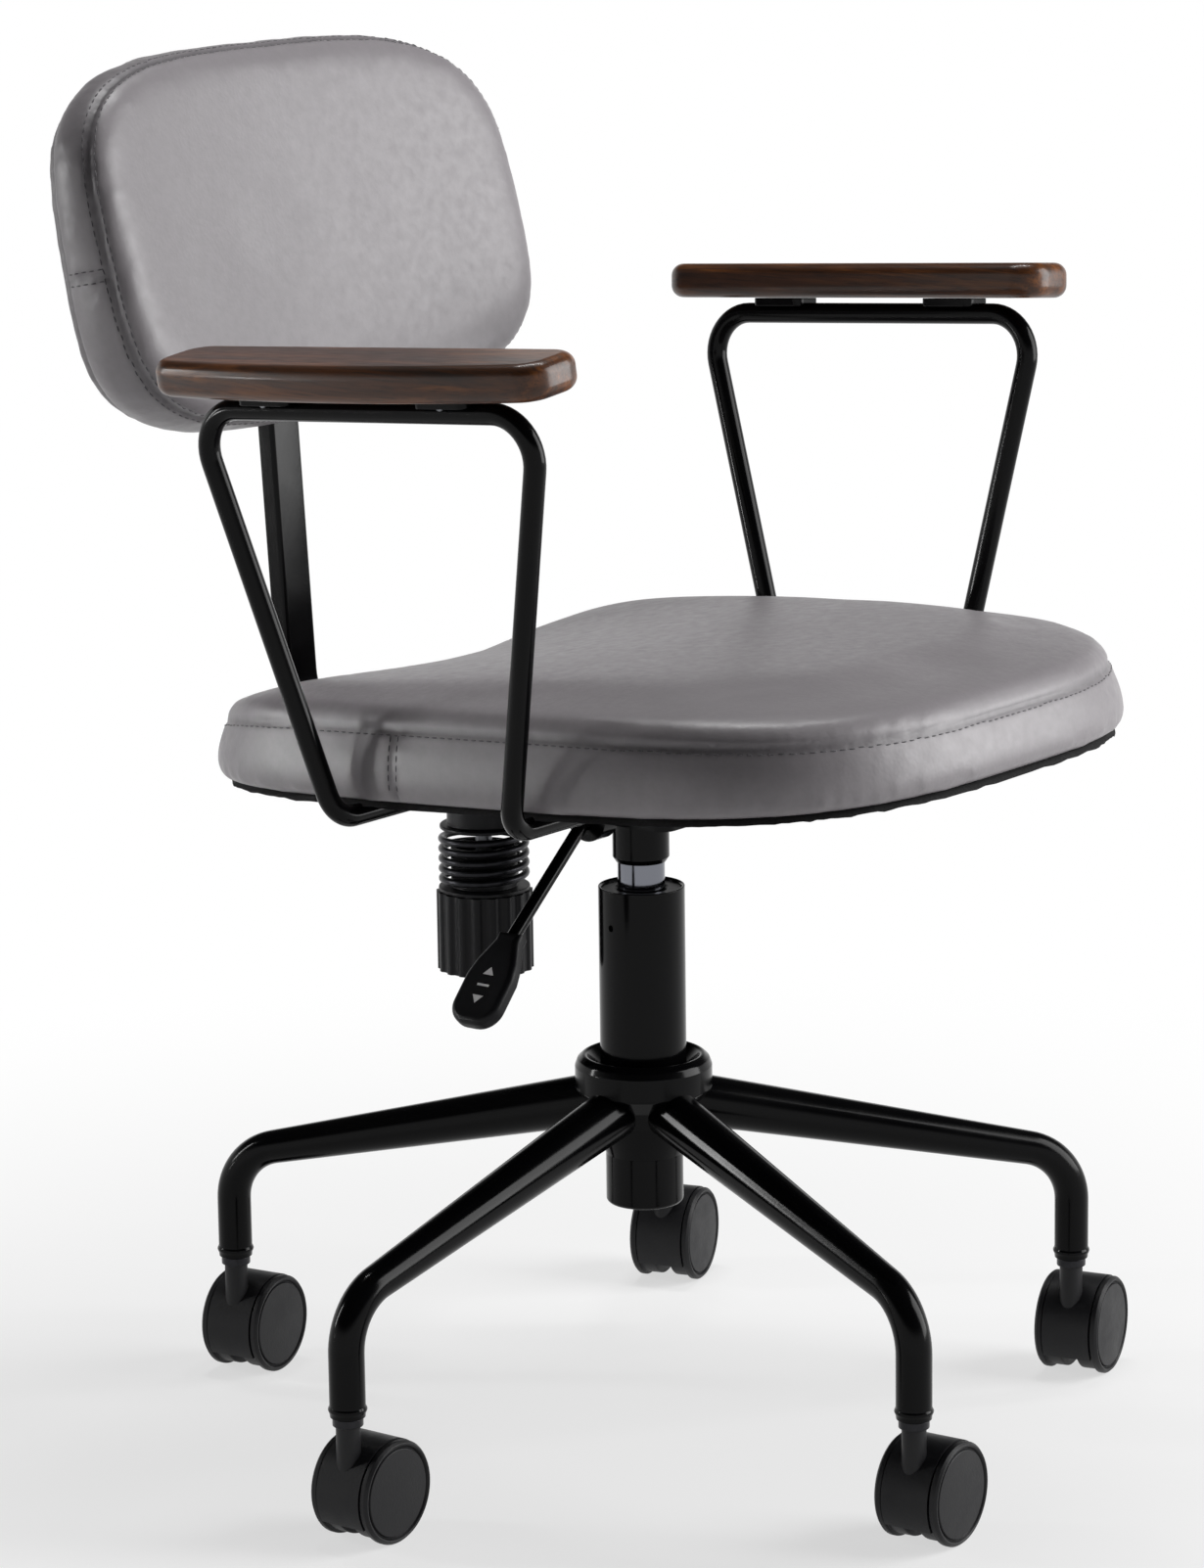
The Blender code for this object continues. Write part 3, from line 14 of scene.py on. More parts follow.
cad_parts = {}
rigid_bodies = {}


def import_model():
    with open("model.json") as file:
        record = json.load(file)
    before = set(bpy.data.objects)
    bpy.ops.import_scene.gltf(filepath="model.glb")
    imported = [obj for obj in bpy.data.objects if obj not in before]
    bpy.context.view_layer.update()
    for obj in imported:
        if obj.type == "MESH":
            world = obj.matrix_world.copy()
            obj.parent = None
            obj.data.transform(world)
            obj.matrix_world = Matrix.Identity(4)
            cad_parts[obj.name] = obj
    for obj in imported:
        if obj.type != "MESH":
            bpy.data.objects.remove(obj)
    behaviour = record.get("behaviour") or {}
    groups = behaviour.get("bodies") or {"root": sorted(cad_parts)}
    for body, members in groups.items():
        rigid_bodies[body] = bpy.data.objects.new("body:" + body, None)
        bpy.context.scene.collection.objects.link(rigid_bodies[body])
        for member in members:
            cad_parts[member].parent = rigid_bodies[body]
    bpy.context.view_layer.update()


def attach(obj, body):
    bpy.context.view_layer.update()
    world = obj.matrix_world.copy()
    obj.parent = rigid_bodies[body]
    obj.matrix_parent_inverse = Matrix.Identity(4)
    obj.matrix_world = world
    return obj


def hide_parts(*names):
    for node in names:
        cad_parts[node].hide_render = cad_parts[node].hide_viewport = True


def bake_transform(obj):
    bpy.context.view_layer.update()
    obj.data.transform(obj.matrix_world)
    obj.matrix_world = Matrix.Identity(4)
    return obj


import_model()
studio = bpy.context.scene


# Base hub: a turned steel collar with a dished top over a flared neck and a plain sleeve.
# The legs are welded to its neck, and all of it is powder coated gloss black as one piece.
def linear(code):
    """An sRGB hex colour as linear light."""
    parts = [int(code[i:i + 2], 16) / 255 for i in (0, 2, 4)]
    return (*[c / 12.92 if c <= 0.04045 else ((c + 0.055) / 1.055) ** 2.4 for c in parts], 1.0)


def node(tree, kind, inputs=None, **settings):
    """Add one shader node with its settings, and link or set its inputs."""
    made = tree.nodes.new("ShaderNode" + kind)
    for name, value in settings.items():
        setattr(made, name, value)
    for socket, source in (inputs or {}).items():
        if isinstance(source, bpy.types.NodeSocket):
            tree.links.new(source, made.inputs[socket])
        else:
            made.inputs[socket].default_value = source
    return made


def finish(name, constants):
    """A new material, its node tree, its Object coordinates and a function that feeds its shader."""
    material = bpy.data.materials.new(name)
    material.use_nodes = True
    tree = material.node_tree
    shader = tree.nodes["Principled BSDF"]
    for socket, value in constants.items():
        shader.inputs[socket].default_value = value
    coords = node(tree, "TexCoord").outputs["Object"]
    return material, tree, coords, lambda socket, source: tree.links.new(source, shader.inputs[socket])


def clouds(tree, coords, size, detail, **more):
    """Noise of a given size."""
    return node(tree, "TexNoise", {"Vector": coords, "Scale": 1 / size, "Detail": detail,
                                   **more}).outputs[0]


def ranged(tree, value, low, high, start=0.0, end=1.0):
    """A value stretched from start and end to low and high."""
    return node(tree, "MapRange", {"Value": value, "From Min": start, "From Max": end, "To Min": low,
                                   "To Max": high}).outputs[0]


def toned(tree, share, first, second):
    """A mix of two colours."""
    return node(tree, "Mix", {0: share, 6: first, 7: second}, data_type="RGBA").outputs[2]


def bumps(tree, height, strength, distance):
    """A surface raised by a texture."""
    return node(tree, "Bump", {"Height": height, "Strength": strength, "Distance": distance}).outputs[0]


def piece(name, bm, material, body, slot, *stands_for, sharp=38):
    """Close a mesh into a piece that rides on a body, if one is given, for the named CAD nodes."""
    bmesh.ops.remove_doubles(bm, verts=bm.verts, dist=1e-6)
    bmesh.ops.recalc_face_normals(bm, faces=bm.faces)
    mesh = bpy.data.meshes.new(name)
    bm.to_mesh(mesh)
    bm.free()
    mesh.shade_smooth()
    mesh.set_sharp_from_angle(angle=math.radians(sharp))
    mesh.materials.append(material)
    made = bpy.data.objects.new(name, mesh)
    studio.collection.objects.link(made)
    made.modifiers.new("even shading", "WEIGHTED_NORMAL").keep_sharp = True
    if body:
        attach(made, body)
    if stands_for:
        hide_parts(*stands_for)
    return made


def rounded_line(corners, radii, steps=6):
    """A line through corners, with each inner corner turned on an arc."""
    corners = [Vector(c) for c in corners]
    if isinstance(radii, float):
        radii = [radii] * (len(corners) - 2)
    line = [corners[0]]
    for before, corner, after, radius in zip(corners, corners[1:], corners[2:], radii):
        into, out = corner - before, after - corner
        angle = into.angle(out)
        room = 0.45 * min(into.length, out.length)
        radius = min(radius, room / math.tan(angle / 2))
        into.normalize()
        out.normalize()
        centre = corner + (out - into).normalized() * radius / math.cos(angle / 2)
        spoke = corner - into * radius * math.tan(angle / 2) - centre
        turn_axis = into.cross(out)
        line += [centre + Matrix.Rotation(angle * i / steps, 3, turn_axis) @ spoke
                 for i in range(steps + 1)]
    return line + [corners[-1]]


def placed(bm, place):
    """Move a mesh to its place."""
    bmesh.ops.transform(bm, matrix=place, verts=bm.verts)
    return bm


def lathe(corners, fillet=0.0, sides=96, place=None):
    """Spin (radius, height) corners about Z, each inner corner eased by a fillet."""
    line = [Vector((r, 0, z)) for r, z in corners]
    if fillet:
        line = rounded_line(line, fillet, 3)
    bm = bmesh.new()
    verts = [bm.verts.new(p) for p in line]
    edges = [bm.edges.new(pair) for pair in zip(verts, verts[1:])]
    if corners[0][0] > 0:
        edges.append(bm.edges.new((verts[-1], verts[0])))
    bmesh.ops.spin(bm, geom=verts + edges, cent=(0, 0, 0), axis=(0, 0, 1), dvec=(0, 0, 0),
                   angle=2 * math.pi, steps=sides, use_merge=True, use_normal_flip=False,
                   use_duplicate=False)
    bmesh.ops.remove_doubles(bm, verts=bm.verts, dist=1e-6)
    bmesh.ops.recalc_face_normals(bm, faces=bm.faces)
    return placed(bm, place) if place else bm


# Gloss powder coat: baked polyester that flows into a faint orange peel with 2.5 mm ripples,
# so that highlights on the tubes stay bright but waver at their edges.
powder_coat, tree, coords, feed = finish("gloss_black_powder_coat", {
    "IOR": 1.5, "Specular IOR Level": 0.11})
peel = clouds(tree, coords, 0.0025, 2.0)
dulling = clouds(tree, coords, 0.060, 5.0)
feed("Normal", bumps(tree, peel, 0.04, 0.0003))
feed("Roughness", ranged(tree, dulling, 0.10, 0.20, 0.3, 0.7))
feed("Base Color", toned(tree, dulling, linear("030304"), linear("080809")))

hub_top, hub_dish, hub_end = 0.2302, 0.2202, 0.1380
hub_corners = [
    (0.0203, hub_end), (0.0215, hub_end), (0.0230, hub_end + 0.0015), (0.0230, 0.1684),
    (0.0290, 0.1887), (0.0330, 0.1997), (0.0408, 0.2087), (0.0408, 0.2222), (0.0393, 0.2262),
    (0.0348, hub_top), (0.0271, hub_dish), (0.0203, hub_dish),
]
piece("hub_collar", lathe(hub_corners, 0.0025), powder_coat, "base", "powder_coat", "base_hub")


# Five legs: tapered steel tubes, welded into the hub's neck and bent down over the casters.
# Each foot is swaged out into a small bead round the caster's stem, and the coat covers it all.
def pipe(line, radii, roundness=12):
    """A closed round tube along a line, with a radius for all of it or for each point."""
    if isinstance(radii, float):
        radii = [radii] * len(line)
    curve = bpy.data.curves.new("pipe", "CURVE")
    curve.dimensions = "3D"
    curve.fill_mode = "FULL"
    curve.bevel_depth = 1.0
    curve.bevel_resolution = roundness
    curve.use_fill_caps = True
    spline = curve.splines.new("POLY")
    spline.points.add(len(line) - 1)
    for point, place, radius in zip(spline.points, line, radii):
        point.co = (*place, 1.0)
        point.radius = radius
    carrier = bpy.data.objects.new("pipe", curve)
    studio.collection.objects.link(carrier)
    skin = bpy.data.meshes.new_from_object(
        carrier.evaluated_get(bpy.context.evaluated_depsgraph_get()))
    bm = bmesh.new()
    bm.from_mesh(skin)
    bpy.data.objects.remove(carrier)
    bpy.data.curves.remove(curve)
    bpy.data.meshes.remove(skin)
    bmesh.ops.remove_doubles(bm, verts=bm.verts, dist=1e-6)
    bmesh.ops.recalc_face_normals(bm, faces=bm.faces)
    return bm


def round_edges(bm, edges, width, steps):
    """Round the given edges of a mesh."""
    bmesh.ops.bevel(bm, geom=edges, offset=width, segments=steps, profile=0.5, affect="EDGES",
                    material=-1, clamp_overlap=True)


leg_count, leg_first_angle = 5, math.radians(34.9)
stem_circle, leg_crown, leg_droop, leg_foot = 0.270, 0.2052, math.radians(13.1), 0.0772
root_radius, end_radius = 0.0160, 0.0103
leg_start = 0.0207
leg_line = rounded_line([(leg_start, 0, leg_crown - leg_start * math.tan(leg_droop)),
                         (stem_circle, 0, leg_crown - stem_circle * math.tan(leg_droop)),
                         (stem_circle, 0, leg_foot)], [0.036], 16)
straight_end = leg_line[1].x
leg_radii = [end_radius + (root_radius - end_radius)
             * max(0.0, (straight_end - p.x) / (straight_end - leg_start)) for p in leg_line[:-1]]
for rise, swell in ((0.0068, 0.0), (0.0060, 0.0003), (0.0052, 0.0007), (0.0044, 0.0009),
                    (0.0036, 0.0007), (0.0028, 0.0003), (0.0020, 0.0), (0.0, -0.0002)):
    leg_line.insert(len(leg_radii), Vector((stem_circle, 0, leg_foot + rise)))
    leg_radii.append(end_radius + swell)
leg_line.pop()
for number in range(1, leg_count + 1):
    heading = Matrix.Rotation(leg_first_angle + (number - 1) * 2 * math.pi / leg_count, 4, "Z")
    leg = pipe(leg_line, leg_radii, 14)
    foot_rim = [e for e in leg.edges if all(abs(v.co.z - leg_foot) < 1e-6 for v in e.verts)]
    round_edges(leg, foot_rim, 0.0010, 3)
    piece(f"leg_tube_{number}", placed(leg, heading), powder_coat, "base", "powder_coat",
          f"base_leg_{number}")


# Casters: each has a moulded nylon hood on a plated steel stem, and two nylon wheels that turn
# on one axle on either side of the hood's web. The stem's collar stands under the leg's foot.
def carve(bm, tool, operation="DIFFERENCE"):
    """Cut one mesh out of another, or join them."""
    pair = []
    for part in (bm, tool):
        mesh = bpy.data.meshes.new("carve")
        part.to_mesh(mesh)
        part.free()
        pair.append(bpy.data.objects.new("carve", mesh))
        studio.collection.objects.link(pair[-1])
    step = pair[0].modifiers.new("carve", "BOOLEAN")
    step.object, step.operation, step.solver = pair[1], operation, "EXACT"
    result = bmesh.new()
    result.from_object(pair[0], bpy.context.evaluated_depsgraph_get())
    for used in pair:
        mesh = used.data
        bpy.data.objects.remove(used)
        bpy.data.meshes.remove(mesh)
    bmesh.ops.remove_doubles(result, verts=result.verts, dist=1e-6)
    bmesh.ops.dissolve_degenerate(result, edges=result.edges[:], dist=1e-6)
    return result


def rod(radius, low, high, sides, place=None):
    """A plain round bar about Z between two levels."""
    return lathe([(0, high), (radius, high), (radius, low), (0, low)], sides=sides, place=place)


def soften(bm, width, steps=2, above=30):
    """Round every edge that turns more than the given angle."""
    bmesh.ops.dissolve_limit(bm, angle_limit=math.radians(0.5), verts=bm.verts[:], edges=bm.edges[:])
    sharp = [e for e in bm.edges if e.is_manifold and e.calc_face_angle() > math.radians(above)]
    round_edges(bm, sharp, width, steps)
    return bm


def raised(outline, low, high, place=None):
    """Raise a flat outline from one level to another."""
    bm = bmesh.new()
    face = bm.faces.new([bm.verts.new((x, y, low)) for x, y in outline])
    grown = bmesh.ops.extrude_face_region(bm, geom=[face])["geom"]
    bmesh.ops.translate(bm, verts=[v for v in grown if isinstance(v, bmesh.types.BMVert)],
                        vec=(0, 0, high - low))
    bmesh.ops.recalc_face_normals(bm, faces=bm.faces)
    return placed(bm, place) if place else bm


def edges_of(bm, level):
    """The edges of a raised outline that lie level, or else those that stand."""
    return [e for e in bm.edges if (abs(e.verts[0].co.z - e.verts[1].co.z) < 1e-6) == level]


def arc(centre, radius, start, end, steps):
    """Points of a flat arc between two angles in degrees."""
    angles = [math.radians(start + (end - start) * i / steps) for i in range(steps + 1)]
    return [(centre[0] + radius * math.cos(a), centre[1] + radius * math.sin(a)) for a in angles]


# Moulded nylon: a fine spark-eroded mould texture, drawn at 1.6 mm so that it shows, breaks the
# sheen, and handling leaves the high spots a little smoother and paler.
nylon, tree, coords, feed = finish("moulded_black_nylon", {"IOR": 1.53, "Specular IOR Level": 0.25})
mould = clouds(tree, coords, 0.0016, 3.0)
scuff = clouds(tree, coords, 0.018, 6.0, Roughness=0.65)
feed("Normal", bumps(tree, mould, 0.25, 0.0003))
feed("Roughness", ranged(tree, scuff, 0.40, 0.56, 0.3, 0.7))
feed("Base Color", toned(tree, scuff, linear("0b0b0d"), linear("17171a")))

# Plated steel: bright zinc that has dulled in soft clouds some 8 mm across.
plated_steel, tree, coords, feed = finish("zinc_plated_steel", {"Metallic": 1.0})
bloom = clouds(tree, coords, 0.008, 5.0)
feed("Roughness", ranged(tree, bloom, 0.18, 0.48))
feed("Base Color", toned(tree, bloom, linear("83858a"), linear("b4b6ba")))

# Black-passivated zinc: the stems' dark plating, thin enough for a metal gleam.
black_zinc, tree, coords, feed = finish("black_passivated_zinc", {"Metallic": 0.7})
film = clouds(tree, coords, 0.005, 5.0)
feed("Roughness", ranged(tree, film, 0.22, 0.45))
feed("Base Color", toned(tree, film, linear("131315"), linear("2c2c30")))

wheel_radius, wheel_width, wheel_space = 0.0300, 0.0155, 0.0100
axle_height, trail, axle_radius = 0.03001, 0.0190, 0.0033
rim_start, tread_radius, disc_radius = 0.0106, 0.0281, 0.0253
hood_radius, hood_height, hood_half, web_half, hood_wall = 0.0305, 0.0716, 0.0150, 0.0044, 0.0018
stem_radius, collar_radius, boss_radius = 0.0055, 0.0088, 0.0070
caster_turns = [16.5, 8.5, 1.5, 4.0, 13.0]

at_axle = Matrix.Translation((trail, 0, axle_height))
along_axle = at_axle @ Matrix.Rotation(math.pi / 2, 4, "X")
hood = raised(arc((0, 0), hood_radius, -15, 212, 72), -hood_half, hood_half, along_axle)
hood = carve(hood, rod(boss_radius, 0.040, hood_height, 48), "UNION")
for side in (-1, 1):
    ends = sorted((side * web_half, side * (hood_half + 0.01)))
    hood = carve(hood, rod(hood_radius - hood_wall, *ends, 96, along_axle))
hood = carve(hood, rod(axle_radius, -0.02, 0.02, 32, along_axle))
hood = carve(hood, rod(stem_radius + 0.0003, 0.0575, 0.08, 32))
soften(hood, 0.0005)

wheel_corners = [
    (0, wheel_width + 0.0008), (disc_radius, wheel_width - 0.0006),
    (disc_radius + 0.0008, wheel_width - 0.0024), (disc_radius + 0.0020, wheel_width - 0.0004),
    (wheel_radius - 0.0016, wheel_width), (wheel_radius, wheel_width - 0.0018),
    (wheel_radius, rim_start), (tread_radius, rim_start), (tread_radius, 0), (axle_radius, 0),
    (axle_radius, 0.0100), (0, 0.0100),
]
stem_corners = [
    (0, 0.1092), (0.0040, 0.1092), (stem_radius, 0.1062), (stem_radius, leg_foot - 0.0003),
    (collar_radius, leg_foot - 0.0003), (collar_radius, hood_height + 0.0003),
    (stem_radius, hood_height + 0.0003), (stem_radius, 0.0578), (0, 0.0578),
]
for number in range(1, leg_count + 1):
    heading = leg_first_angle + (number - 1) * 2 * math.pi / leg_count
    caster = (Matrix.Translation((stem_circle * math.cos(heading), stem_circle * math.sin(heading), 0))
              @ Matrix.Rotation(math.radians(caster_turns[number - 1]), 4, "Z"))
    piece(f"caster_cowl_{number}", placed(hood.copy(), caster), nylon, f"caster_{number}", "nylon",
          f"caster_hood_{number}")
    piece(f"caster_spindle_{number}", lathe(stem_corners, 0.0006, 48, caster), black_zinc,
          f"caster_{number}", "steel", f"caster_stem_{number}")
    bpy.data.objects[f"caster_axle_{number}"].material_slots[0].material = plated_steel
    for label, facing in (("near", 90), ("far", -90)):
        on_axle = (caster @ at_axle @ Matrix.Rotation(math.radians(facing), 4, "X")
                   @ Matrix.Translation((0, 0, wheel_space / 2)))
        piece(f"wheel_{number}_{label}_moulding", lathe(wheel_corners, 0.0007, 72, on_axle), nylon,
              f"wheel_{number}_{label}", "nylon", f"caster_wheel_{number}_{label}")
hood.free()

# Gas lift: a coated outer tube stands in the hub, a plastic bush closes its mouth, and the chromed
# cylinder slides and turns in the bush. A small drilled hole near the mouth takes the bush's screw.
tube_radius, tube_bore, tube_seat, tube_top = 0.0256, 0.0236, 0.2205, 0.3313
spigot_radius, spigot_end, spigot_floor = 0.0200, 0.1423, 0.1453
hole_radius, hole_angle, hole_height = 0.0020, math.radians(172.0), 0.3093
tube = lathe([
    (tube_bore, tube_top - 0.0010), (tube_bore + 0.0008, tube_top), (tube_radius, tube_top),
    (tube_radius, tube_seat), (spigot_radius, tube_seat), (spigot_radius, spigot_end),
    (0.0046, spigot_end), (0.0046, spigot_floor), (spigot_radius - 0.002, spigot_floor),
    (spigot_radius - 0.002, tube_seat + 0.002), (tube_bore, tube_seat + 0.002),
], 0.0012)
drill_way = (Matrix.Translation((0, 0, hole_height)) @ Matrix.Rotation(hole_angle, 4, "Z")
             @ Matrix.Rotation(math.pi / 2, 4, "Y"))
tube = carve(tube, rod(hole_radius, 0.020, 0.030, 24, drill_way))
piece("lift_column", tube, powder_coat, "base", "powder_coat", "lift_outer_tube")

# Moulded plastic: satin black, with the same sort of mould texture as the casters but finer.
plastic, tree, coords, feed = finish("moulded_black_plastic", {
    "IOR": 1.49, "Specular IOR Level": 0.15})
mould = clouds(tree, coords, 0.0014, 2.0)
wear = clouds(tree, coords, 0.025, 5.0)
feed("Normal", bumps(tree, mould, 0.15, 0.0002))
feed("Roughness", ranged(tree, wear, 0.28, 0.50))
feed("Base Color", toned(tree, wear, linear("09090b"), linear("141417")))
bush_top, cylinder_radius = 0.3298, 0.0140
piece("lift_mouth_bush", lathe([
    (tube_bore - 0.0003, bush_top - 0.074), (cylinder_radius + 0.0006, bush_top - 0.074),
    (cylinder_radius + 0.0006, bush_top - 0.0015), (cylinder_radius + 0.0021, bush_top),
    (tube_bore - 0.0003, bush_top)], 0.0005), plastic, "base", "plastic", "lift_guide_bush")

# Hard chrome: ground and polished round the axis, so fine hoops 1.2 mm apart stretch the highlight.
chrome, tree, coords, feed = finish("hard_chrome", {"Metallic": 1.0, "Base Color": linear("74767d")})
drawn_out = node(tree, "Mapping", {"Vector": coords, "Scale": (20, 20, 1 / 0.0012)}).outputs[0]
feed("Roughness", ranged(tree, clouds(tree, drawn_out, 1.0, 3.0), 0.05, 0.20))
socket_bottom, cylinder_top, cylinder_end = 0.3461, 0.3866, 0.1653
piece("lift_chrome_cylinder", lathe([
    (0, 0.3426), (0.0043, 0.3426), (0.0043, cylinder_top), (0.0132, cylinder_top),
    (cylinder_radius, socket_bottom), (cylinder_radius, cylinder_end), (0.0110, cylinder_end),
    (0.0110, 0.3003), (0, 0.3003)], 0.0008), chrome, "seat", "chrome", "lift_cylinder")
for inner, coat in (("lift_thrust_bearing", plated_steel), ("lift_piston_rod", chrome),
                    ("lift_rod_clip", plated_steel), ("lift_rod_guide", plastic),
                    ("lift_release_pin", plated_steel)):
    bpy.data.objects[inner].material_slots[0].material = coat

# Mechanism under the seat: a pressed steel tray with a taper socket welded into its floor and a
# boss for the height lever, closed by the seat plate. All of it is coated like the base.
housing_floor, housing_wall, housing_half = 0.3766, 0.0025, 0.0420
housing_front, housing_rear, housing_corner = -0.0500, 0.0880, 0.0090
plate_level, seat_rake = 0.4115, math.radians(3.8)
raked = Matrix.Rotation(-seat_rake, 3, "X") @ Vector((0, 0, 1))


def tray_block(inset, low, high, rear):
    """The tray's body or its room, with its upright edges rounded."""
    x, y = housing_half - inset, housing_front + inset
    bm = raised([(-x, y), (x, y), (x, rear), (-x, rear)], low, high)
    round_edges(bm, edges_of(bm, level=False), housing_corner - inset, 8)
    return bm


tray = tray_block(0.0, housing_floor, plate_level + 0.02, housing_rear)
tray = carve(tray, tray_block(housing_wall, housing_floor + housing_wall, plate_level + 0.05,
                              housing_rear + 0.03))
cut = bmesh.ops.bisect_plane(tray, geom=tray.verts[:] + tray.edges[:] + tray.faces[:], dist=1e-7,
                             plane_co=(0, 0, plate_level - 0.0003), plane_no=raked,
                             clear_outer=True)["geom_cut"]
bmesh.ops.contextual_create(tray, geom=[e for e in cut if isinstance(e, bmesh.types.BMEdge)])
bmesh.ops.recalc_face_normals(tray, faces=tray.faces)
socket_radius = 0.0168
tray = carve(tray, lathe([(0, 0.3896), (socket_radius, 0.3896), (socket_radius, socket_bottom + 0.003),
                          (socket_radius - 0.002, socket_bottom), (0, socket_bottom)], sides=64),
             "UNION")
lever_pivot = Vector((-0.0450, 0, 0.38691))
lever_radius, lever_droop = 0.0040, math.radians(39.2)
lever_hole, lever_boss, boss_start, boss_end = 0.0056, 0.0140, 0.0395, 0.0520
sideways = Matrix.Rotation(-math.pi / 2, 4, "Y")
boss_place = Matrix.Translation((0, 0, lever_pivot.z - lever_radius * 1.4)) @ sideways
tray = carve(tray, rod(lever_boss, boss_start, boss_end, 48, boss_place), "UNION")
tray = carve(tray, lathe([(0, 0.41), (0.0131, 0.41), (0.0145, 0.33), (0, 0.33)], sides=64))
lever_way = (Matrix.Translation(lever_pivot) @ Matrix.Rotation(-lever_droop, 4, "Y") @ sideways)
tray = carve(tray, rod(lever_hole, -0.03, 0.03, 32, lever_way))
piece("tilt_tray", soften(tray, 0.0008), powder_coat, "seat", "powder_coat", "mechanism_housing")
for shown, coat in (("seat_plate", powder_coat), ("back_pivot_pin", plated_steel),
                    ("tension_bolt", plated_steel)):
    bpy.data.objects[shown].material_slots[0].material = coat

# Height lever: a cranked, coated rod that rocks in the boss and presses the lift's release pin,
# with a moulded paddle pushed over its end. Printed arrows on the paddle say up and down.
lever_knee, lever_tip_level = -0.0325, 0.3971
lever_joint = Vector((lever_pivot.x - 0.0755, 0, lever_pivot.z - 0.0755 * math.tan(lever_droop)))
grip_droop, grip_length, grip_half, grip_thick = math.radians(47.0), 0.0610, 0.0165, 0.0105
grip_bore, grip_bore_end = 0.0043, 0.0180
tail = lever_joint - Vector((math.cos(grip_droop), 0, math.sin(grip_droop))) * 0.0177
lever_line = rounded_line([(0.006, 0, lever_tip_level), (lever_knee, 0, lever_tip_level),
                           lever_joint, tail], [0.012, 0.012], 10)
piece("lever_crank", pipe(lever_line, lever_radius, 10), powder_coat, "height_lever", "powder_coat",
      "lever_rod")
grip_place = (Matrix.Translation(lever_joint) @ Matrix.Rotation(math.pi, 4, "Z")
              @ Matrix.Rotation(grip_droop, 4, "Y"))
end_round, flare = grip_half * 0.8, 0.0200
paddle_outline = [(0, -0.008), (0.006, -0.0083), (flare, -grip_half * 0.86), (flare + 0.010, -grip_half)]
paddle_outline += arc((grip_length - end_round, end_round - grip_half), end_round, -90, 0, 10)
paddle_outline += arc((grip_length - end_round, grip_half - end_round), end_round, 0, 90, 10)
paddle_outline += [(x, -y) for x, y in paddle_outline[3::-1]]
paddle = raised(paddle_outline, -grip_thick / 2, grip_thick / 2)
round_edges(paddle, edges_of(paddle, level=True), 0.0036, 5)
paddle = carve(paddle, rod(grip_bore, -0.02, grip_bore_end, 32, Matrix.Rotation(math.pi / 2, 4, "Y")))
piece("lever_paddle", placed(paddle, grip_place), plastic, "height_lever", "plastic", "lever_grip")


def gather(name, parts):
    """Put several meshes into one."""
    whole = bmesh.new()
    for part in parts:
        mesh = bpy.data.meshes.new(name)
        part.to_mesh(mesh)
        part.free()
        whole.from_mesh(mesh)
        bpy.data.meshes.remove(mesh)
    return whole


# White marking ink: two printed arrowheads and a bar, a tenth of a millimetre proud of the paddle.
ink, tree, coords, feed = finish("white_marking_ink", {"Roughness": 0.55})
feed("Base Color", toned(tree, clouds(tree, coords, 0.003, 4.0), linear("c8c8c8"), linear("efefed")))
arrow = [(0.0030, 0), (-0.0022, 0.0038), (-0.0022, -0.0038)]
printed = [[(middle + way * x, y) for x, y in arrow] for middle, way in ((0.0455, 1), (0.0275, -1))]
printed.append([(0.0358, -0.0042), (0.0372, -0.0042), (0.0372, 0.0042), (0.0358, 0.0042)])
marks = gather("marks", [raised(outline, grip_thick / 2 - 0.0003, grip_thick / 2 + 0.0001, grip_place)
                         for outline in printed])
piece("lever_arrows", marks, ink, "height_lever", "plastic")

# Tilt spring: a coil of blackened round wire under the back bar, set in a cap above and held below
# by a flanged plastic guide, which a fluted knob presses up along the hanging bolt.
spring_place = Vector((0, 0.1192, 0))
coil_radius, wire_radius, coil_turns = 0.0253, 0.0022, 5
spring_bottom, spring_top = 0.3156, 0.3506
# Oil-blackened spring steel: drawn wire with a thin dark oxide that lets bright metal through.
spring_steel, tree, coords, feed = finish("oil_black_spring_steel", {"Metallic": 0.85})
oxide = clouds(tree, coords, 0.004, 6.0)
feed("Base Color", toned(tree, oxide, linear("0e0e10"), linear("2a2a2e")))
feed("Roughness", ranged(tree, oxide, 0.22, 0.48))
turn_points = 40
coil_line = []
for i in range(coil_turns * turn_points + 1):
    a, share = 2 * math.pi * i / turn_points, i / (coil_turns * turn_points)
    coil_line.append(spring_place + Vector((
        coil_radius * math.cos(a), coil_radius * math.sin(a),
        spring_bottom + wire_radius + (spring_top - spring_bottom - 2 * wire_radius) * share)))
coil_line = ([coil_line[0] - Vector((0, 2 * wire_radius, 0))] + coil_line
             + [coil_line[-1] + Vector((0, 2 * wire_radius, 0))])
spring = piece("tilt_spring", pipe(coil_line, wire_radius, 6), spring_steel, None,
               "spring_steel", "tension_spring")
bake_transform(spring)
at_spring = Matrix.Translation(spring_place)
cap_top, cap_bottom = 0.3858, 0.3509
piece("spring_cup", lathe([
    (0.0125, cap_top), (0.0125, cap_bottom), (0.0264, cap_bottom), (0.0264, cap_bottom + 0.0025),
    (0.0220, cap_bottom + 0.0025), (0.0220, cap_top)], 0.0009, place=at_spring), plastic, "backrest",
      "plastic", "spring_cap")
washer_bottom, washer_top, guide_top = 0.3129, 0.3153, 0.3400
guide_radius, guide_wall, bolt_bore = 0.0200, 0.0016, 0.0056
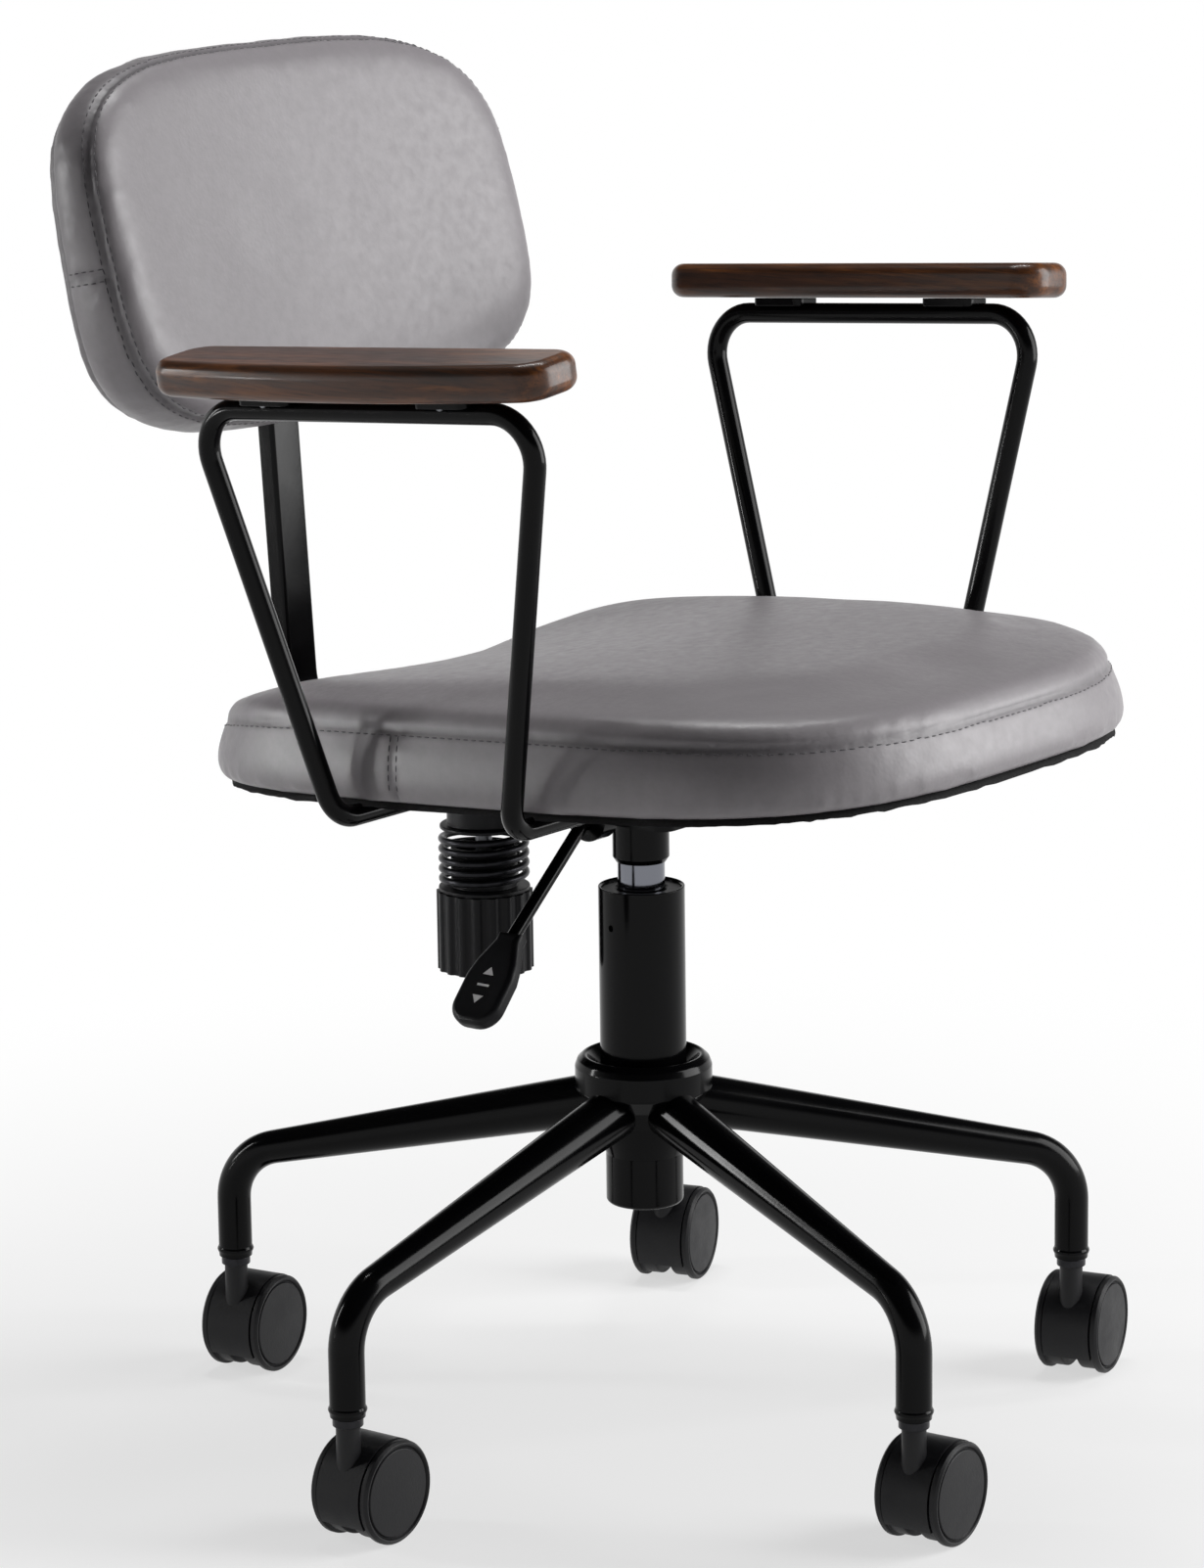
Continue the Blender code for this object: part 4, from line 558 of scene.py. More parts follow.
piece("thrust_washer", lathe([
    (bolt_bore, washer_bottom), (0.0275, washer_bottom), (0.0275, washer_top), (guide_radius, washer_top),
    (guide_radius, guide_top), (guide_radius - guide_wall, guide_top),
    (guide_radius - guide_wall, washer_top), (bolt_bore, washer_top)], 0.0005, place=at_spring), plastic,
      "seat", "plastic", "tension_washer")
knob_top, knob_bottom = 0.3126, 0.2641
knob_radius, knob_flutes, flute_depth, points_per_flute = 0.0290, 18, 0.0016, 10
rim = []
for i in range(knob_flutes * points_per_flute):
    a = 2 * math.pi * i / (knob_flutes * points_per_flute)
    dip = 0.5 - 0.5 * math.tanh(3.0 * math.cos(knob_flutes * (a - math.radians(9.0))))
    r = knob_radius - flute_depth * dip
    rim.append((r * math.cos(a), r * math.sin(a)))
knob = raised(rim, knob_bottom, knob_top)
lower = [e for e in knob.edges if all(abs(v.co.z - knob_bottom) < 1e-9 for v in e.verts)]
round_edges(knob, lower, 0.0032, 5)
upper = [e for e in knob.edges if all(abs(v.co.z - knob_top) < 1e-9 for v in e.verts)]
round_edges(knob, upper, 0.0010, 3)
knob = carve(knob, rod(bolt_bore, knob_bottom + 0.003, knob_top + 0.01, 32))
piece("tilt_knob", placed(knob, at_spring), plastic, "knob", "plastic", "tension_knob", sharp=50)

# Seat cushion: foam on a plywood board, covered in grey polyurethane leather. A top panel meets an
# upright side band at a stitched seam, the band is pieced at one side, and it is stapled below.
seat_frame = Matrix.Translation((0, 0, 0.4161)) @ Matrix.Rotation(-seat_rake, 4, "X")
seat_half, seat_ahead, seat_behind, seat_widest = 0.2025, 0.2100, 0.2670, 0.0600
seat_square_front, seat_square_rear = 3.1, 4.8
seam_height, seat_crown, seam_inset = 0.0415, 0.0220, 0.0065
saddle_depth, waterfall = 0.0310, 0.0080


def pillow_line(sizes, square_ahead, square_behind, inset, count):
    """A rounded outline of a half width, a reach ahead and a reach behind, drawn in by an inset.

    Its corners are squarer the higher the powers are, and a deep inset closes it to a point."""
    least = min(sizes)
    half_width, ahead, behind = [
        size - inset - (size - least) * (inset / least) * abs(inset / least) for size in sizes]
    points = []
    for i in range(count):
        a = 2 * math.pi * (i + 0.5) / count
        c, s = math.cos(a), math.sin(a)
        power = 2 / (square_behind if s > 0 else square_ahead)
        reach = behind if s > 0 else ahead
        points.append((half_width * math.copysign(abs(c) ** power, c),
                       reach * math.copysign(abs(s) ** power, s)))
    return points


def seat_line(inset, height, count=120):
    """Points round the seat at an inset and a height, sunk with the saddle."""
    ring = []
    for x, y in pillow_line((seat_half, seat_ahead, seat_behind), seat_square_front,
                            seat_square_rear, inset, count):
        behind, ahead = max(0.0, y / seat_behind), max(0.0, -y / seat_ahead)
        sunk = saddle_depth * (1 - (x / seat_half) ** 2) * behind ** 1.6 + waterfall * ahead ** 2
        ring.append((x, y - seat_widest, height - min(1.0, height / seam_height) * sunk))
    return ring


def stacked(rings):
    """Raise a face through a row of rings with equal point counts, as one closed skin."""
    bm = bmesh.new()
    order = bm.verts.layers.int.new("order")
    verts = [bm.verts.new(p) for p in rings[0]]
    for i, v in enumerate(verts):
        v[order] = i
    bottom = face = bm.faces.new(verts)
    for ring in rings[1:]:
        grown = bmesh.ops.extrude_face_region(bm, geom=[face])["geom"]
        if face is not bottom:
            bmesh.ops.delete(bm, geom=[face], context="FACES_ONLY")
        face = [f for f in grown if isinstance(f, bmesh.types.BMFace)][0]
        for v in face.verts:
            v.co = ring[v[order]]
    bmesh.ops.recalc_face_normals(bm, faces=bm.faces)
    return bm


def even_line(points, spacing, closed=True):
    """Points at an even spacing along a line."""
    points = [Vector(p) for p in points]
    if closed:
        points.append(points[0])
    lengths = [(b - a).length for a, b in zip(points, points[1:])]
    total = sum(lengths)
    count = max(2, round(total / spacing))
    line, i, passed = [], 0, 0.0
    for k in range(count if closed else count + 1):
        reach = min(total * k / count, total - 1e-9)
        while passed + lengths[i] < reach:
            passed += lengths[i]
            i += 1
        line.append(points[i].lerp(points[i + 1], (reach - passed) / lengths[i]))
    return line


def near(points):
    """A search tree of points."""
    tree = KDTree(len(points))
    for i, p in enumerate(points):
        tree.insert(p, i)
    tree.balance()
    return tree


def relax(bm, rounds):
    """Smooth a mesh a little, a few times."""
    for _ in range(rounds):
        bmesh.ops.smooth_vert(bm, verts=bm.verts, factor=0.5, use_axis_x=True, use_axis_y=True,
                              use_axis_z=True)


def upholster(name, bm, voxel, seams, fixed, pressure, cap, depth, pull):
    """Remesh a cover, fill it until it swells between its seams, then draw the seams in.

    The swell is evened out, because foam fills the cover without creases. Each seam is a row of
    points 2 mm apart, and a "seam" attribute says how close each point lies."""
    mesh = bpy.data.meshes.new(name)
    bm.to_mesh(mesh)
    bm.free()
    cover = bpy.data.objects.new(name, mesh)
    studio.collection.objects.link(cover)
    remesh = cover.modifiers.new("remesh", "REMESH")
    remesh.mode, remesh.voxel_size = "VOXEL", voxel
    graph = bpy.context.evaluated_depsgraph_get()
    even = bpy.data.meshes.new_from_object(cover.evaluated_get(graph))
    cover.modifiers.clear()
    cover.data = even
    bpy.data.meshes.remove(mesh)
    bm = bmesh.new()
    bm.from_mesh(even)
    relax(bm, 3)
    bm.to_mesh(even)
    bm.free()
    stitched = near([p for seam in seams for p in seam])
    held = cover.vertex_groups.new(name="held")
    hold = [1.0 if fixed(v.co) else max(0.0, 1.0 - stitched.find(v.co)[2] / 0.010)
            for v in even.vertices]
    for i, weight in enumerate(hold):
        held.add([i], weight, "REPLACE")
    cloth = cover.modifiers.new("filling", "CLOTH")
    cloth.settings.use_pressure = True
    cloth.settings.uniform_pressure_force = pressure
    cloth.settings.vertex_group_mass = "held"
    cloth.settings.effector_weights.gravity = 0
    cloth.point_cache.frame_start, cloth.point_cache.frame_end = 1, 20
    for moment in range(1, 21):
        studio.frame_set(moment)
    swollen = cover.evaluated_get(bpy.context.evaluated_depsgraph_get()).to_mesh()
    lifts = [(b.co - a.co).dot(a.normal) for a, b in zip(even.vertices, swollen.vertices)]
    cover.evaluated_get(bpy.context.evaluated_depsgraph_get()).to_mesh_clear()
    cover.modifiers.clear()
    studio.frame_set(1)
    for _ in range(24):
        sums, counts = lifts[:], [1] * len(lifts)
        for a, b in (e.vertices for e in even.edges):
            sums[a] += lifts[b]
            sums[b] += lifts[a]
            counts[a] += 1
            counts[b] += 1
        lifts = [total / count for total, count in zip(sums, counts)]
    for v, lift, weight in zip(even.vertices, lifts, hold):
        v.co += v.normal * (1 - weight) * cap * math.tanh(lift / cap)
    cover.vertex_groups.clear()
    bm = bmesh.new()
    bm.from_mesh(even)
    bmesh.ops.subdivide_edges(bm, edges=bm.edges, cuts=1, use_grid_fill=True, smooth=0.6)
    relax(bm, 2)
    bm.normal_update()
    closeness = bm.verts.layers.float.new("seam")
    for v in bm.verts:
        place, _, reach = stitched.find(v.co)
        groove = depth * math.exp(-(reach / 0.0024) ** 2)
        gather = math.exp(-((reach - 0.010) / 0.009) ** 2)
        ripple = noise.noise(place * 55.0) + 0.5 * noise.noise(place * 140.0)
        slack = noise.noise(v.co * 9.0) * (1 - math.exp(-(reach / 0.05) ** 2))
        v.co += v.normal * (pull * (gather * ripple + 1.2 * slack) - groove)
        v[closeness] = math.exp(-(reach / 0.0028) ** 2)
    bm.to_mesh(even)
    bm.free()
    even.shade_smooth()
    return cover


def stitch_row(bm, skin, seam, side, apart, length, thread):
    """Lay stitches of a length and thickness beside a seam, each sunk by half into the cover."""
    for k in range(1, len(seam) - 1):
        way = (seam[k + 1] - seam[k - 1]).normalized()
        spot, normal, _, _ = skin.find_nearest(seam[k])
        spot, normal, _, _ = skin.find_nearest(seam[k] + way.cross(normal) * side * apart)
        way = (way - normal * way.dot(normal)).normalized()
        across = normal.cross(way)
        stitch = Matrix((way * length / 2, across * thread / 2, normal * thread / 2)).transposed()
        bmesh.ops.create_uvsphere(bm, u_segments=6, v_segments=4, radius=1.0,
                                  matrix=Matrix.Translation(spot) @ stitch.to_4x4())


# Polyurethane leather: a pressed pebble grain, drawn at 2.4 mm so that it shows, under a satin
# topcoat. Painted shade darkens it along the seam grooves, and its creases vary the shine.
leather, tree, coords, feed = finish("grey_polyurethane_leather", {
    "IOR": 1.50, "Specular IOR Level": 0.55})
pebbles = node(tree, "TexVoronoi", {"Vector": coords, "Scale": 1 / 0.0024, "Randomness": 1.0},
               feature="SMOOTH_F1")
creases = clouds(tree, coords, 0.0070, 6.0, Roughness=0.6)
seam_painted_shade = node(tree, "Attribute", attribute_name="seam").outputs["Fac"]
grain = node(tree, "Math", {0: pebbles.outputs[0], 1: creases}, operation="ADD").outputs[0]
feed("Normal", bumps(tree, grain, 0.16, 0.0004))
body_tone = toned(tree, clouds(tree, coords, 0.11, 3.0), linear("787477"), linear("827e81"))
fleck_tone = toned(tree, ranged(tree, creases, 0.0, 0.25, 0.35, 0.75), body_tone, linear("686467"))
# Painted shade: the colour darkens towards 39363a where the seam attribute puts a point in a seam groove.
feed("Base Color", toned(tree, ranged(tree, seam_painted_shade, 0.0, 0.6), fleck_tone, linear("39363a")))
feed("Roughness", ranged(tree, creases, 0.37, 0.48, 0.3, 0.7))

# Sewing thread: bonded polyester in a tone darker than the cover.
thread, tree, coords, feed = finish("grey_polyester_thread", {"Roughness": 0.6, "Sheen Weight": 0.3})
feed("Base Color", toned(tree, clouds(tree, coords, 0.0010, 2.0), linear("2b292c"), linear("4a474c")))

seam = seam_height
band_rows = [(0.0020, 0.0), (-0.0010, 0.0030), (-0.0012, seam * 0.25), (-0.0004, seam * 0.50),
             (0.0018, seam * 0.78)]
crown_reach, crown_steps = 0.190, 14
crown_rows = [(seam_inset - 0.0012 + crown_reach * share ** 2.9,
               seam + seat_crown * (1 - (1 - share) ** 3.0))
              for share in (i / crown_steps for i in range(crown_steps + 1))]
seat_cover = stacked([seat_line(inset, height) for inset, height in band_rows + crown_rows])
band_seam_y = 0.0180
seam_points, stitch_spacing, stitch_length, thread_width = 0.002, 0.0056, 0.0044, 0.0010
seat_seam = even_line(seat_line(seam_inset, seam), seam_points)
band_seam = even_line([(-seat_half + 0.001, band_seam_y, 0.004),
                       (-seat_half + 0.0008, band_seam_y, seam * 0.35),
                       (-seat_half + seam_inset, band_seam_y, seam)], seam_points, closed=False)
seat = upholster("seat_upholstery", seat_cover, 0.005, [seat_seam, band_seam], lambda p: p.z < 0.006,
                 pressure=4.0, cap=0.0035, depth=0.0022, pull=0.0002)
seat.data.transform(seat_frame)
seat.data.materials.append(leather)
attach(seat, "seat")
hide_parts("seat_cushion")
seat_skin = BVHTree.FromObject(seat, bpy.context.evaluated_depsgraph_get())
rows = bmesh.new()
for side, closed, line in ((1, True, seat_line(seam_inset, seam)), (-1, False, band_seam),
                           (1, False, band_seam)):
    stitch_row(rows, seat_skin, [seat_frame @ p for p in even_line(line, stitch_spacing, closed)],
               side, 0.0034, stitch_length, thread_width)
piece("seat_stitches", rows, thread, "seat", "leatherette", sharp=180)

# Plywood and dust cloth under the seat: the board stays inside the cover, and a black non-woven
# cloth is stapled over the underside, its cut edge left ragged below the cover.
plywood, tree, coords, feed = finish("birch_plywood", {"Roughness": 0.6})
layers = node(tree, "TexWave", {"Vector": coords, "Scale": 1 / 0.0060, "Distortion": 3.0},
              bands_direction="Z")
feed("Base Color", toned(tree, layers.outputs["Fac"], linear("a8855a"), linear("c9a878")))
for board in ("seat_board", "back_board"):
    bpy.data.objects[board].material_slots[0].material = plywood
# Non-woven cloth: pressed fibres with a 2 mm dimple pattern and no shine.
dust_cloth, tree, coords, feed = finish("black_non_woven_cloth", {"Roughness": 0.95})
dimples = node(tree, "TexVoronoi", {"Vector": coords, "Scale": 1 / 0.0020}).outputs[0]
feed("Normal", bumps(tree, dimples, 0.4, 0.0004))
feed("Base Color", toned(tree, dimples, linear("0c0c0d"), linear("1a1a1b")))
cloth_level = -0.0008
cloth = bmesh.new()
cloth_line = [Vector((x, y, cloth_level)) for x, y, z in seat_line(0.012, 0.0, 240)]
face = cloth.faces.new([cloth.verts.new(p) for p in cloth_line])
for drop, rag in ((0.0004, 0.0), (0.0020, 0.0018)):
    grown = bmesh.ops.extrude_edge_only(cloth, edges=[e for e in cloth.edges if e.is_boundary])["geom"]
    for v in [v for v in grown if isinstance(v, bmesh.types.BMVert)]:
        out = Vector((v.co.x, v.co.y + seat_widest, 0)).normalized()
        ragged = noise.noise(Vector((v.co.x, v.co.y, 0)) * 60.0) + 0.6 * noise.noise(v.co * 170.0)
        v.co += out * (0.0048 - 0.4 * drop + rag * 0.4 * ragged)
        v.co.z -= drop + rag * abs(ragged)
placed(cloth, seat_frame)
cloth_area = sum(f.calc_area() for f in cloth.faces)
dust_sheet = piece("dust_sheet", cloth, dust_cloth, "seat", "dust_cloth", "seat_dust_cover", sharp=180)
dust_sheet.modifiers.clear()

# Back bar: a flat steel bar that hinges in the tray, runs back under the seat and turns up into the
# backrest. It is rolled with rounded edges and coated like the base.
pivot = Vector((0, 0.0680, 0.3926))
bar_width, bar_depth, bar_edge = 0.0260, 0.0130, 0.0028
hinge_radius, hinge_half, pin_hole, bolt_hole = 0.0100, 0.0389, 0.0053, 0.0074
bar_lean, back_recline = math.radians(3.7), math.radians(10.7)
upright = Vector((0, math.sin(bar_lean), math.cos(bar_lean)))
recline = Vector((0, math.sin(back_recline), math.cos(back_recline)))
forward = Vector((0, -recline.z, recline.y))
bar_foot = pivot + Vector((0, 0.1945, 0))
bar_bend_up = bar_foot + upright * (0.2640 / upright.z)
bar_line = rounded_line([pivot, bar_foot, bar_bend_up, bar_bend_up + recline * 0.085],
                        [0.040, 0.060], 16)
ways = [(b - a).normalized() for a, b in zip(bar_line, bar_line[1:])]
ways = [(a + b).normalized() for a, b in zip(ways[:1] + ways, ways + ways[-1:])]
bar_sides = [[(p + Vector((0, -w.z, w.y)) * s * bar_depth / 2) for p, w in zip(bar_line, ways)]
             for s in (-1, 1)]
on_edge = Matrix(((0, 0, 1, 0), (1, 0, 0, 0), (0, 1, 0, 0), (0, 0, 0, 1)))
bar = raised([(p.y, p.z) for p in bar_sides[0] + bar_sides[1][::-1]], -bar_width / 2, bar_width / 2,
             on_edge)
rims = [e for e in bar.edges if abs(e.verts[0].co.x - e.verts[1].co.x) < 1e-9]
round_edges(bar, rims, bar_edge, 4)
across = Matrix.Translation(pivot) @ Matrix.Rotation(math.pi / 2, 4, "Y")
bar = carve(bar, rod(hinge_radius, -hinge_half, hinge_half, 48, across), "UNION")
bar = carve(bar, rod(pin_hole, -0.1, 0.1, 32, across))
bar = carve(bar, rod(bolt_hole, 0.36, 0.42, 32, at_spring))
piece("upright_bar", bar, powder_coat, "backrest", "powder_coat", "back_bar")

# Backrest: foam on a bent plywood board, in a boxed cover of the same leather. The front panel has
# a stitched seam all round, and the side band is pieced with a short stitched seam at each side.
back_frame = (Matrix.Translation(bar_bend_up + recline * 0.0430 + forward * 0.0141)
              @ Matrix.Rotation(math.pi / 2 - back_recline, 4, "X"))
back_half, back_tall, back_low = 0.1900, 0.1138, 0.1145
back_square_low, back_square_top = 3.7, 3.5
rear_depth, seam_depth, front_depth = 0.0150, 0.0185, 0.0306
rear_crown, back_wrap, back_wedge, back_lean = 0.0120, 0.0170, 0.24, 0.040


def back_point(x, y, depth):
    """A place in the backrest, which is thicker below, leans back and wraps round the sitter."""
    tapered = depth * (1 - back_wedge * y / back_tall)
    return (x, y, tapered - back_lean * y + back_wrap * (x / back_half) ** 2)


def back_line(inset, depth, count=120):
    """Points round the backrest at an inset and a depth."""
    return [back_point(x, y, depth) for x, y in pillow_line(
        (back_half, back_low, back_tall), back_square_low, back_square_top, inset, count)]


rear_rows = [(0.0032 + 0.108 * share ** 2.6, -rear_depth - rear_crown * (1 - (1 - share) ** 2.6))
             for share in (1 - i / 8 for i in range(9))]
side_rows = [(-0.0004, -rear_depth * 0.45), (-0.0004, seam_depth * 0.30)]
roll_width, panel_rise = 0.0170, front_depth - seam_depth
roll_rows = [(0.0022 + roll_width * (1 - math.cos(a)), seam_depth + panel_rise * math.sin(a))
             for a in (math.radians(15 * i) for i in range(7))]
panel_rows = [(0.045, front_depth + 0.0006), (0.080, front_depth + 0.0010), (0.111, front_depth + 0.0012)]
back_cover = stacked([back_line(inset, depth)
                      for inset, depth in rear_rows + side_rows + roll_rows + panel_rows])
front_seam = even_line(back_line(0.0034, seam_depth), seam_points)
rear_seam = even_line(back_line(0.0044, -rear_depth), seam_points)
band_y = -0.012
side_seams = []
for side in (-1, 1):
    ends = [back_point(side * (back_half - inset), band_y, depth)
            for inset, depth in ((0.0044, -rear_depth), (0.0010, 0.0), (0.0034, seam_depth))]
    side_seams.append(even_line(ends, seam_points, closed=False))
back = upholster("back_upholstery", back_cover, 0.005, [front_seam, rear_seam] + side_seams,
                 lambda p: False, pressure=4.0, cap=0.0012, depth=0.0022, pull=0.0006)
back.data.transform(back_frame)
back.data.materials.append(leather)
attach(back, "backrest")
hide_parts("back_cushion")
back_skin = BVHTree.FromObject(back, bpy.context.evaluated_depsgraph_get())
rows = bmesh.new()
for side in (-1, 1):
    for closed, line in ((True, back_line(0.0034, seam_depth)), (False, side_seams[0]),
                         (False, side_seams[1])):
        stitch_row(rows, back_skin, [back_frame @ p for p in even_line(line, stitch_spacing, closed)],
                   side, 0.0038, stitch_length, thread_width)
piece("back_stitches", rows, thread, "backrest", "leatherette", sharp=180)

# Arm loops: one steel tube each, bent four times, with a foot plate screwed under the seat and two
# tabs under the pad, welded and coated. The pads are solid walnut, lacquered.
tube_radius, foot_out, top_out, top_height = 0.00625, 0.2157, 0.2400, 0.2263
top_front, top_rear, foot_front, foot_rear, run_end = -0.1345, 0.1115, -0.0752, 0.0507, 0.1180
plate_top, foot_level = -0.0016, -0.00845
arm_lean = math.atan2(top_out - foot_out, top_height - foot_level)
bar_middle = (top_front + top_rear) / 2
tab_reach, tab_top = 0.0630, tube_radius + 0.0030
pad_length, pad_width, pad_thick = 0.2770, 0.0580, 0.0210
pad_corner, pad_edge, pad_bow = 0.0180, 0.0075, 0.0110
bow_radius = ((pad_length / 2) ** 2 + pad_bow ** 2) / (2 * pad_bow)
bow_x, inner_x = pad_width / 2 - bow_radius, pad_corner - pad_width / 2
corner_y = pad_length / 2 - pad_corner
corner_x = bow_x + math.sqrt((bow_radius - pad_corner) ** 2 - corner_y ** 2)
bow_end = math.degrees(math.atan2(corner_y, corner_x - bow_x))
pad_plan = (arc((bow_x, 0), bow_radius, -bow_end, bow_end, 16)
            + arc((corner_x, corner_y), pad_corner, bow_end, 90, 10)[1:]
            + arc((inner_x, corner_y), pad_corner, 90, 180, 10)
            + arc((inner_x, -corner_y), pad_corner, 180, 270, 10)
            + arc((corner_x, -corner_y), pad_corner, -90, -bow_end, 10)[:-1])

# Lacquered walnut: open-pored heartwood whose dark growth lines, about 4 mm apart, run along the pad
# with paler streaks between them, under a clear coat.
walnut, tree, coords, feed = finish("lacquered_walnut", {
    "Coat Weight": 0.22, "Coat Roughness": 0.16, "Specular IOR Level": 0.25})
along = node(tree, "Mapping", {"Vector": coords, "Scale": (1 / 0.0085, 1 / 0.140, 1 / 0.0085)}).outputs[0]
fine = node(tree, "Mapping", {"Vector": coords, "Scale": (1 / 0.0012, 1 / 0.030, 1 / 0.0012)}).outputs[0]
pores = clouds(tree, fine, 1.0, 3.0)
tones = node(tree, "ValToRGB", {0: clouds(tree, along, 1.0, 4.0, Distortion=0.6)})
ramp = tones.color_ramp.elements
ramp.new(0.50)
for stop, place, tone in zip(ramp, (0.28, 0.50, 0.74), ("2c1708", "4c2a12", "7c4a22")):
    stop.position, stop.color = place, linear(tone)
feed("Base Color", toned(tree, ranged(tree, pores, 0.0, 0.55, 0.50, 0.68), tones.outputs[0],
                         linear("120804")))
feed("Roughness", ranged(tree, pores, 0.26, 0.46))
feed("Normal", bumps(tree, pores, 0.08, 0.0003))


def rounded_plate(x0, x1, y0, y1, low, high, corner, place, edge):
    """A flat plate with rounded corners, and with its rims rounded too."""
    bm = raised([(x0, y0), (x1, y0), (x1, y1), (x0, y1)], low, high)
    round_edges(bm, edges_of(bm, level=False), corner, 12)
    round_edges(bm, edges_of(bm, level=True), edge, 3)
    return placed(bm, place)


def screw_head(place, radius):
    """A domed screw head with a hexagon socket, standing on the plane of its place."""
    head = lathe([(0, radius * 0.62), (radius * 0.55, radius * 0.55), (radius, radius * 0.10), (radius, 0),
                  (0, 0)], radius * 0.15, 32)
    key = bmesh.new()
    bmesh.ops.create_cone(key, cap_ends=True, segments=6, radius1=radius * 0.42, radius2=radius * 0.42,
                          depth=radius, matrix=Matrix.Translation((0, 0, radius * 0.80)))
    return placed(carve(head, key), place)


screws = []
downwards = Matrix.Rotation(math.pi, 4, "X")
for label, side in (("left", 1), ("right", -1)):
    corners = [(run_end, foot_front, foot_level), (foot_out, foot_front, foot_level),
               (top_out, top_front, top_height), (top_out, top_rear, top_height),
               (foot_out, foot_rear, foot_level), (run_end, foot_rear, foot_level)]
    loop_line = rounded_line([seat_frame @ Vector((side * x, y, z)) for x, y, z in corners],
                             [0.017, 0.025, 0.025, 0.017], 14)
    leaning = (seat_frame @ Matrix.Translation((side * top_out, bar_middle, top_height))
               @ Matrix.Rotation(side * arm_lean, 4, "Y"))
    ends = sorted((side * (run_end - 0.002), side * (run_end + 0.034)))
    parts = [pipe(loop_line, tube_radius, 12),
             rounded_plate(*ends, foot_front - 0.012, foot_rear + 0.012, plate_top - 0.003, plate_top,
                           0.006, seat_frame, 0.0006)]
    for y in (-tab_reach, tab_reach):
        parts.append(rounded_plate(-0.011, 0.011, y - 0.018, y + 0.018, tube_radius * 0.7, tab_top, 0.005,
                                   leaning, 0.0005))
        screws.append(screw_head(leaning @ Matrix.Translation((side * 0.0085, y, tube_radius * 0.7))
                                 @ downwards, 0.0022))
    for y in (foot_front + 0.030, foot_rear - 0.030):
        screws.append(screw_head(seat_frame @ Matrix.Translation(
            (side * (run_end + 0.016), y, plate_top - 0.003)) @ downwards, 0.0050))
    piece(f"arm_tube_{label}", gather("arm", parts), powder_coat, "seat", "powder_coat",
          f"arm_loop_{label}")
    pad_bottom = tab_top + 0.0003
    rest = raised([(side * x, y) for x, y in pad_plan], pad_bottom, pad_bottom + pad_thick)
    round_edges(rest, edges_of(rest, level=True), pad_edge, 8)
    piece(f"arm_rest_{label}", placed(rest, leaning), walnut, "seat", "walnut", f"arm_pad_{label}")
for x in (-0.060, 0.060):
    for y in (-0.075, 0.135):
        screws.append(screw_head(seat_frame @ Matrix.Translation((x, y, plate_top - 0.003)) @ downwards,
                                 0.0060))
piece("seat_screws", gather("screws", screws), plated_steel, "seat", "steel")

# Studio: a pale floor that fades to white, a large panel on the right, a narrow one on the left and
# a strip overhead, which draw the long highlights on the tubes. The camera stands as in the photo.
view_turn, view_rise, view_distance = math.radians(-52.11), math.radians(12.43), 3.184
aim_height, aim_right, view_roll = 0.3924, -0.0224, math.radians(-0.77)
picture_width, focal_pixels, sensor_width = 1230, 5543, 36.0
outward = Vector((math.sin(view_turn) * math.cos(view_rise), -math.cos(view_turn) * math.cos(view_rise),
                  math.sin(view_rise)))
rightward = Vector((math.cos(view_turn), math.sin(view_turn), 0))
skyward = outward.cross(rightward)
spot = Vector((0, 0, aim_height)) + outward * view_distance + rightward * aim_right
rolled_right = rightward * math.cos(view_roll) + skyward * math.sin(view_roll)
rolled_up = skyward * math.cos(view_roll) - rightward * math.sin(view_roll)
lens = bpy.data.cameras.new("photo_view")
lens.sensor_fit, lens.sensor_width = "HORIZONTAL", sensor_width
lens.lens = sensor_width * focal_pixels / picture_width
camera = bpy.data.objects.new("photo_view", lens)
studio.collection.objects.link(camera)
facing = Matrix((rolled_right, rolled_up, outward)).transposed().to_4x4()
camera.matrix_world = Matrix.Translation(spot) @ facing
studio.camera = camera

paper, tree, coords, feed = finish("white_studio_paper", {"Roughness": 0.9})
paper_tone = linear("b4b4b4")
reach = node(tree, "VectorMath", {0: coords}, operation="LENGTH").outputs["Value"]
fade = node(tree, "MapRange", {"Value": reach, "From Min": 0.35, "From Max": 1.10, "To Min": 0.62},
            interpolation_type="SMOOTHSTEP").outputs[0]
rays = node(tree, "LightPath")
seen = node(tree, "Math", {0: rays.outputs["Is Camera Ray"], 1: rays.outputs["Is Glossy Ray"]},
            operation="MAXIMUM")
seen = node(tree, "Math", {0: seen.outputs[0], 1: rays.outputs["Is Transmission Ray"]},
            operation="MAXIMUM")
share = node(tree, "Math", {0: fade, 1: seen.outputs[0]}, operation="MULTIPLY").outputs[0]
shader = tree.nodes["Principled BSDF"]
feed("Base Color", node(tree, "Mix", {0: fade, 6: paper_tone, 7: linear("ffffff")},
                        data_type="RGBA").outputs[2])
glow = node(tree, "Emission", {"Color": linear("ffffff"), "Strength": 1.0})
mixed = node(tree, "MixShader", {0: share, 1: shader.outputs[0], 2: glow.outputs[0]})
tree.links.new(mixed.outputs[0], tree.nodes["Material Output"].inputs["Surface"])
floor_mesh = bmesh.new()
bmesh.ops.create_grid(floor_mesh, x_segments=1, y_segments=1, size=6.0)
mesh = bpy.data.meshes.new("studio_floor")
floor_mesh.to_mesh(mesh)
floor_mesh.free()
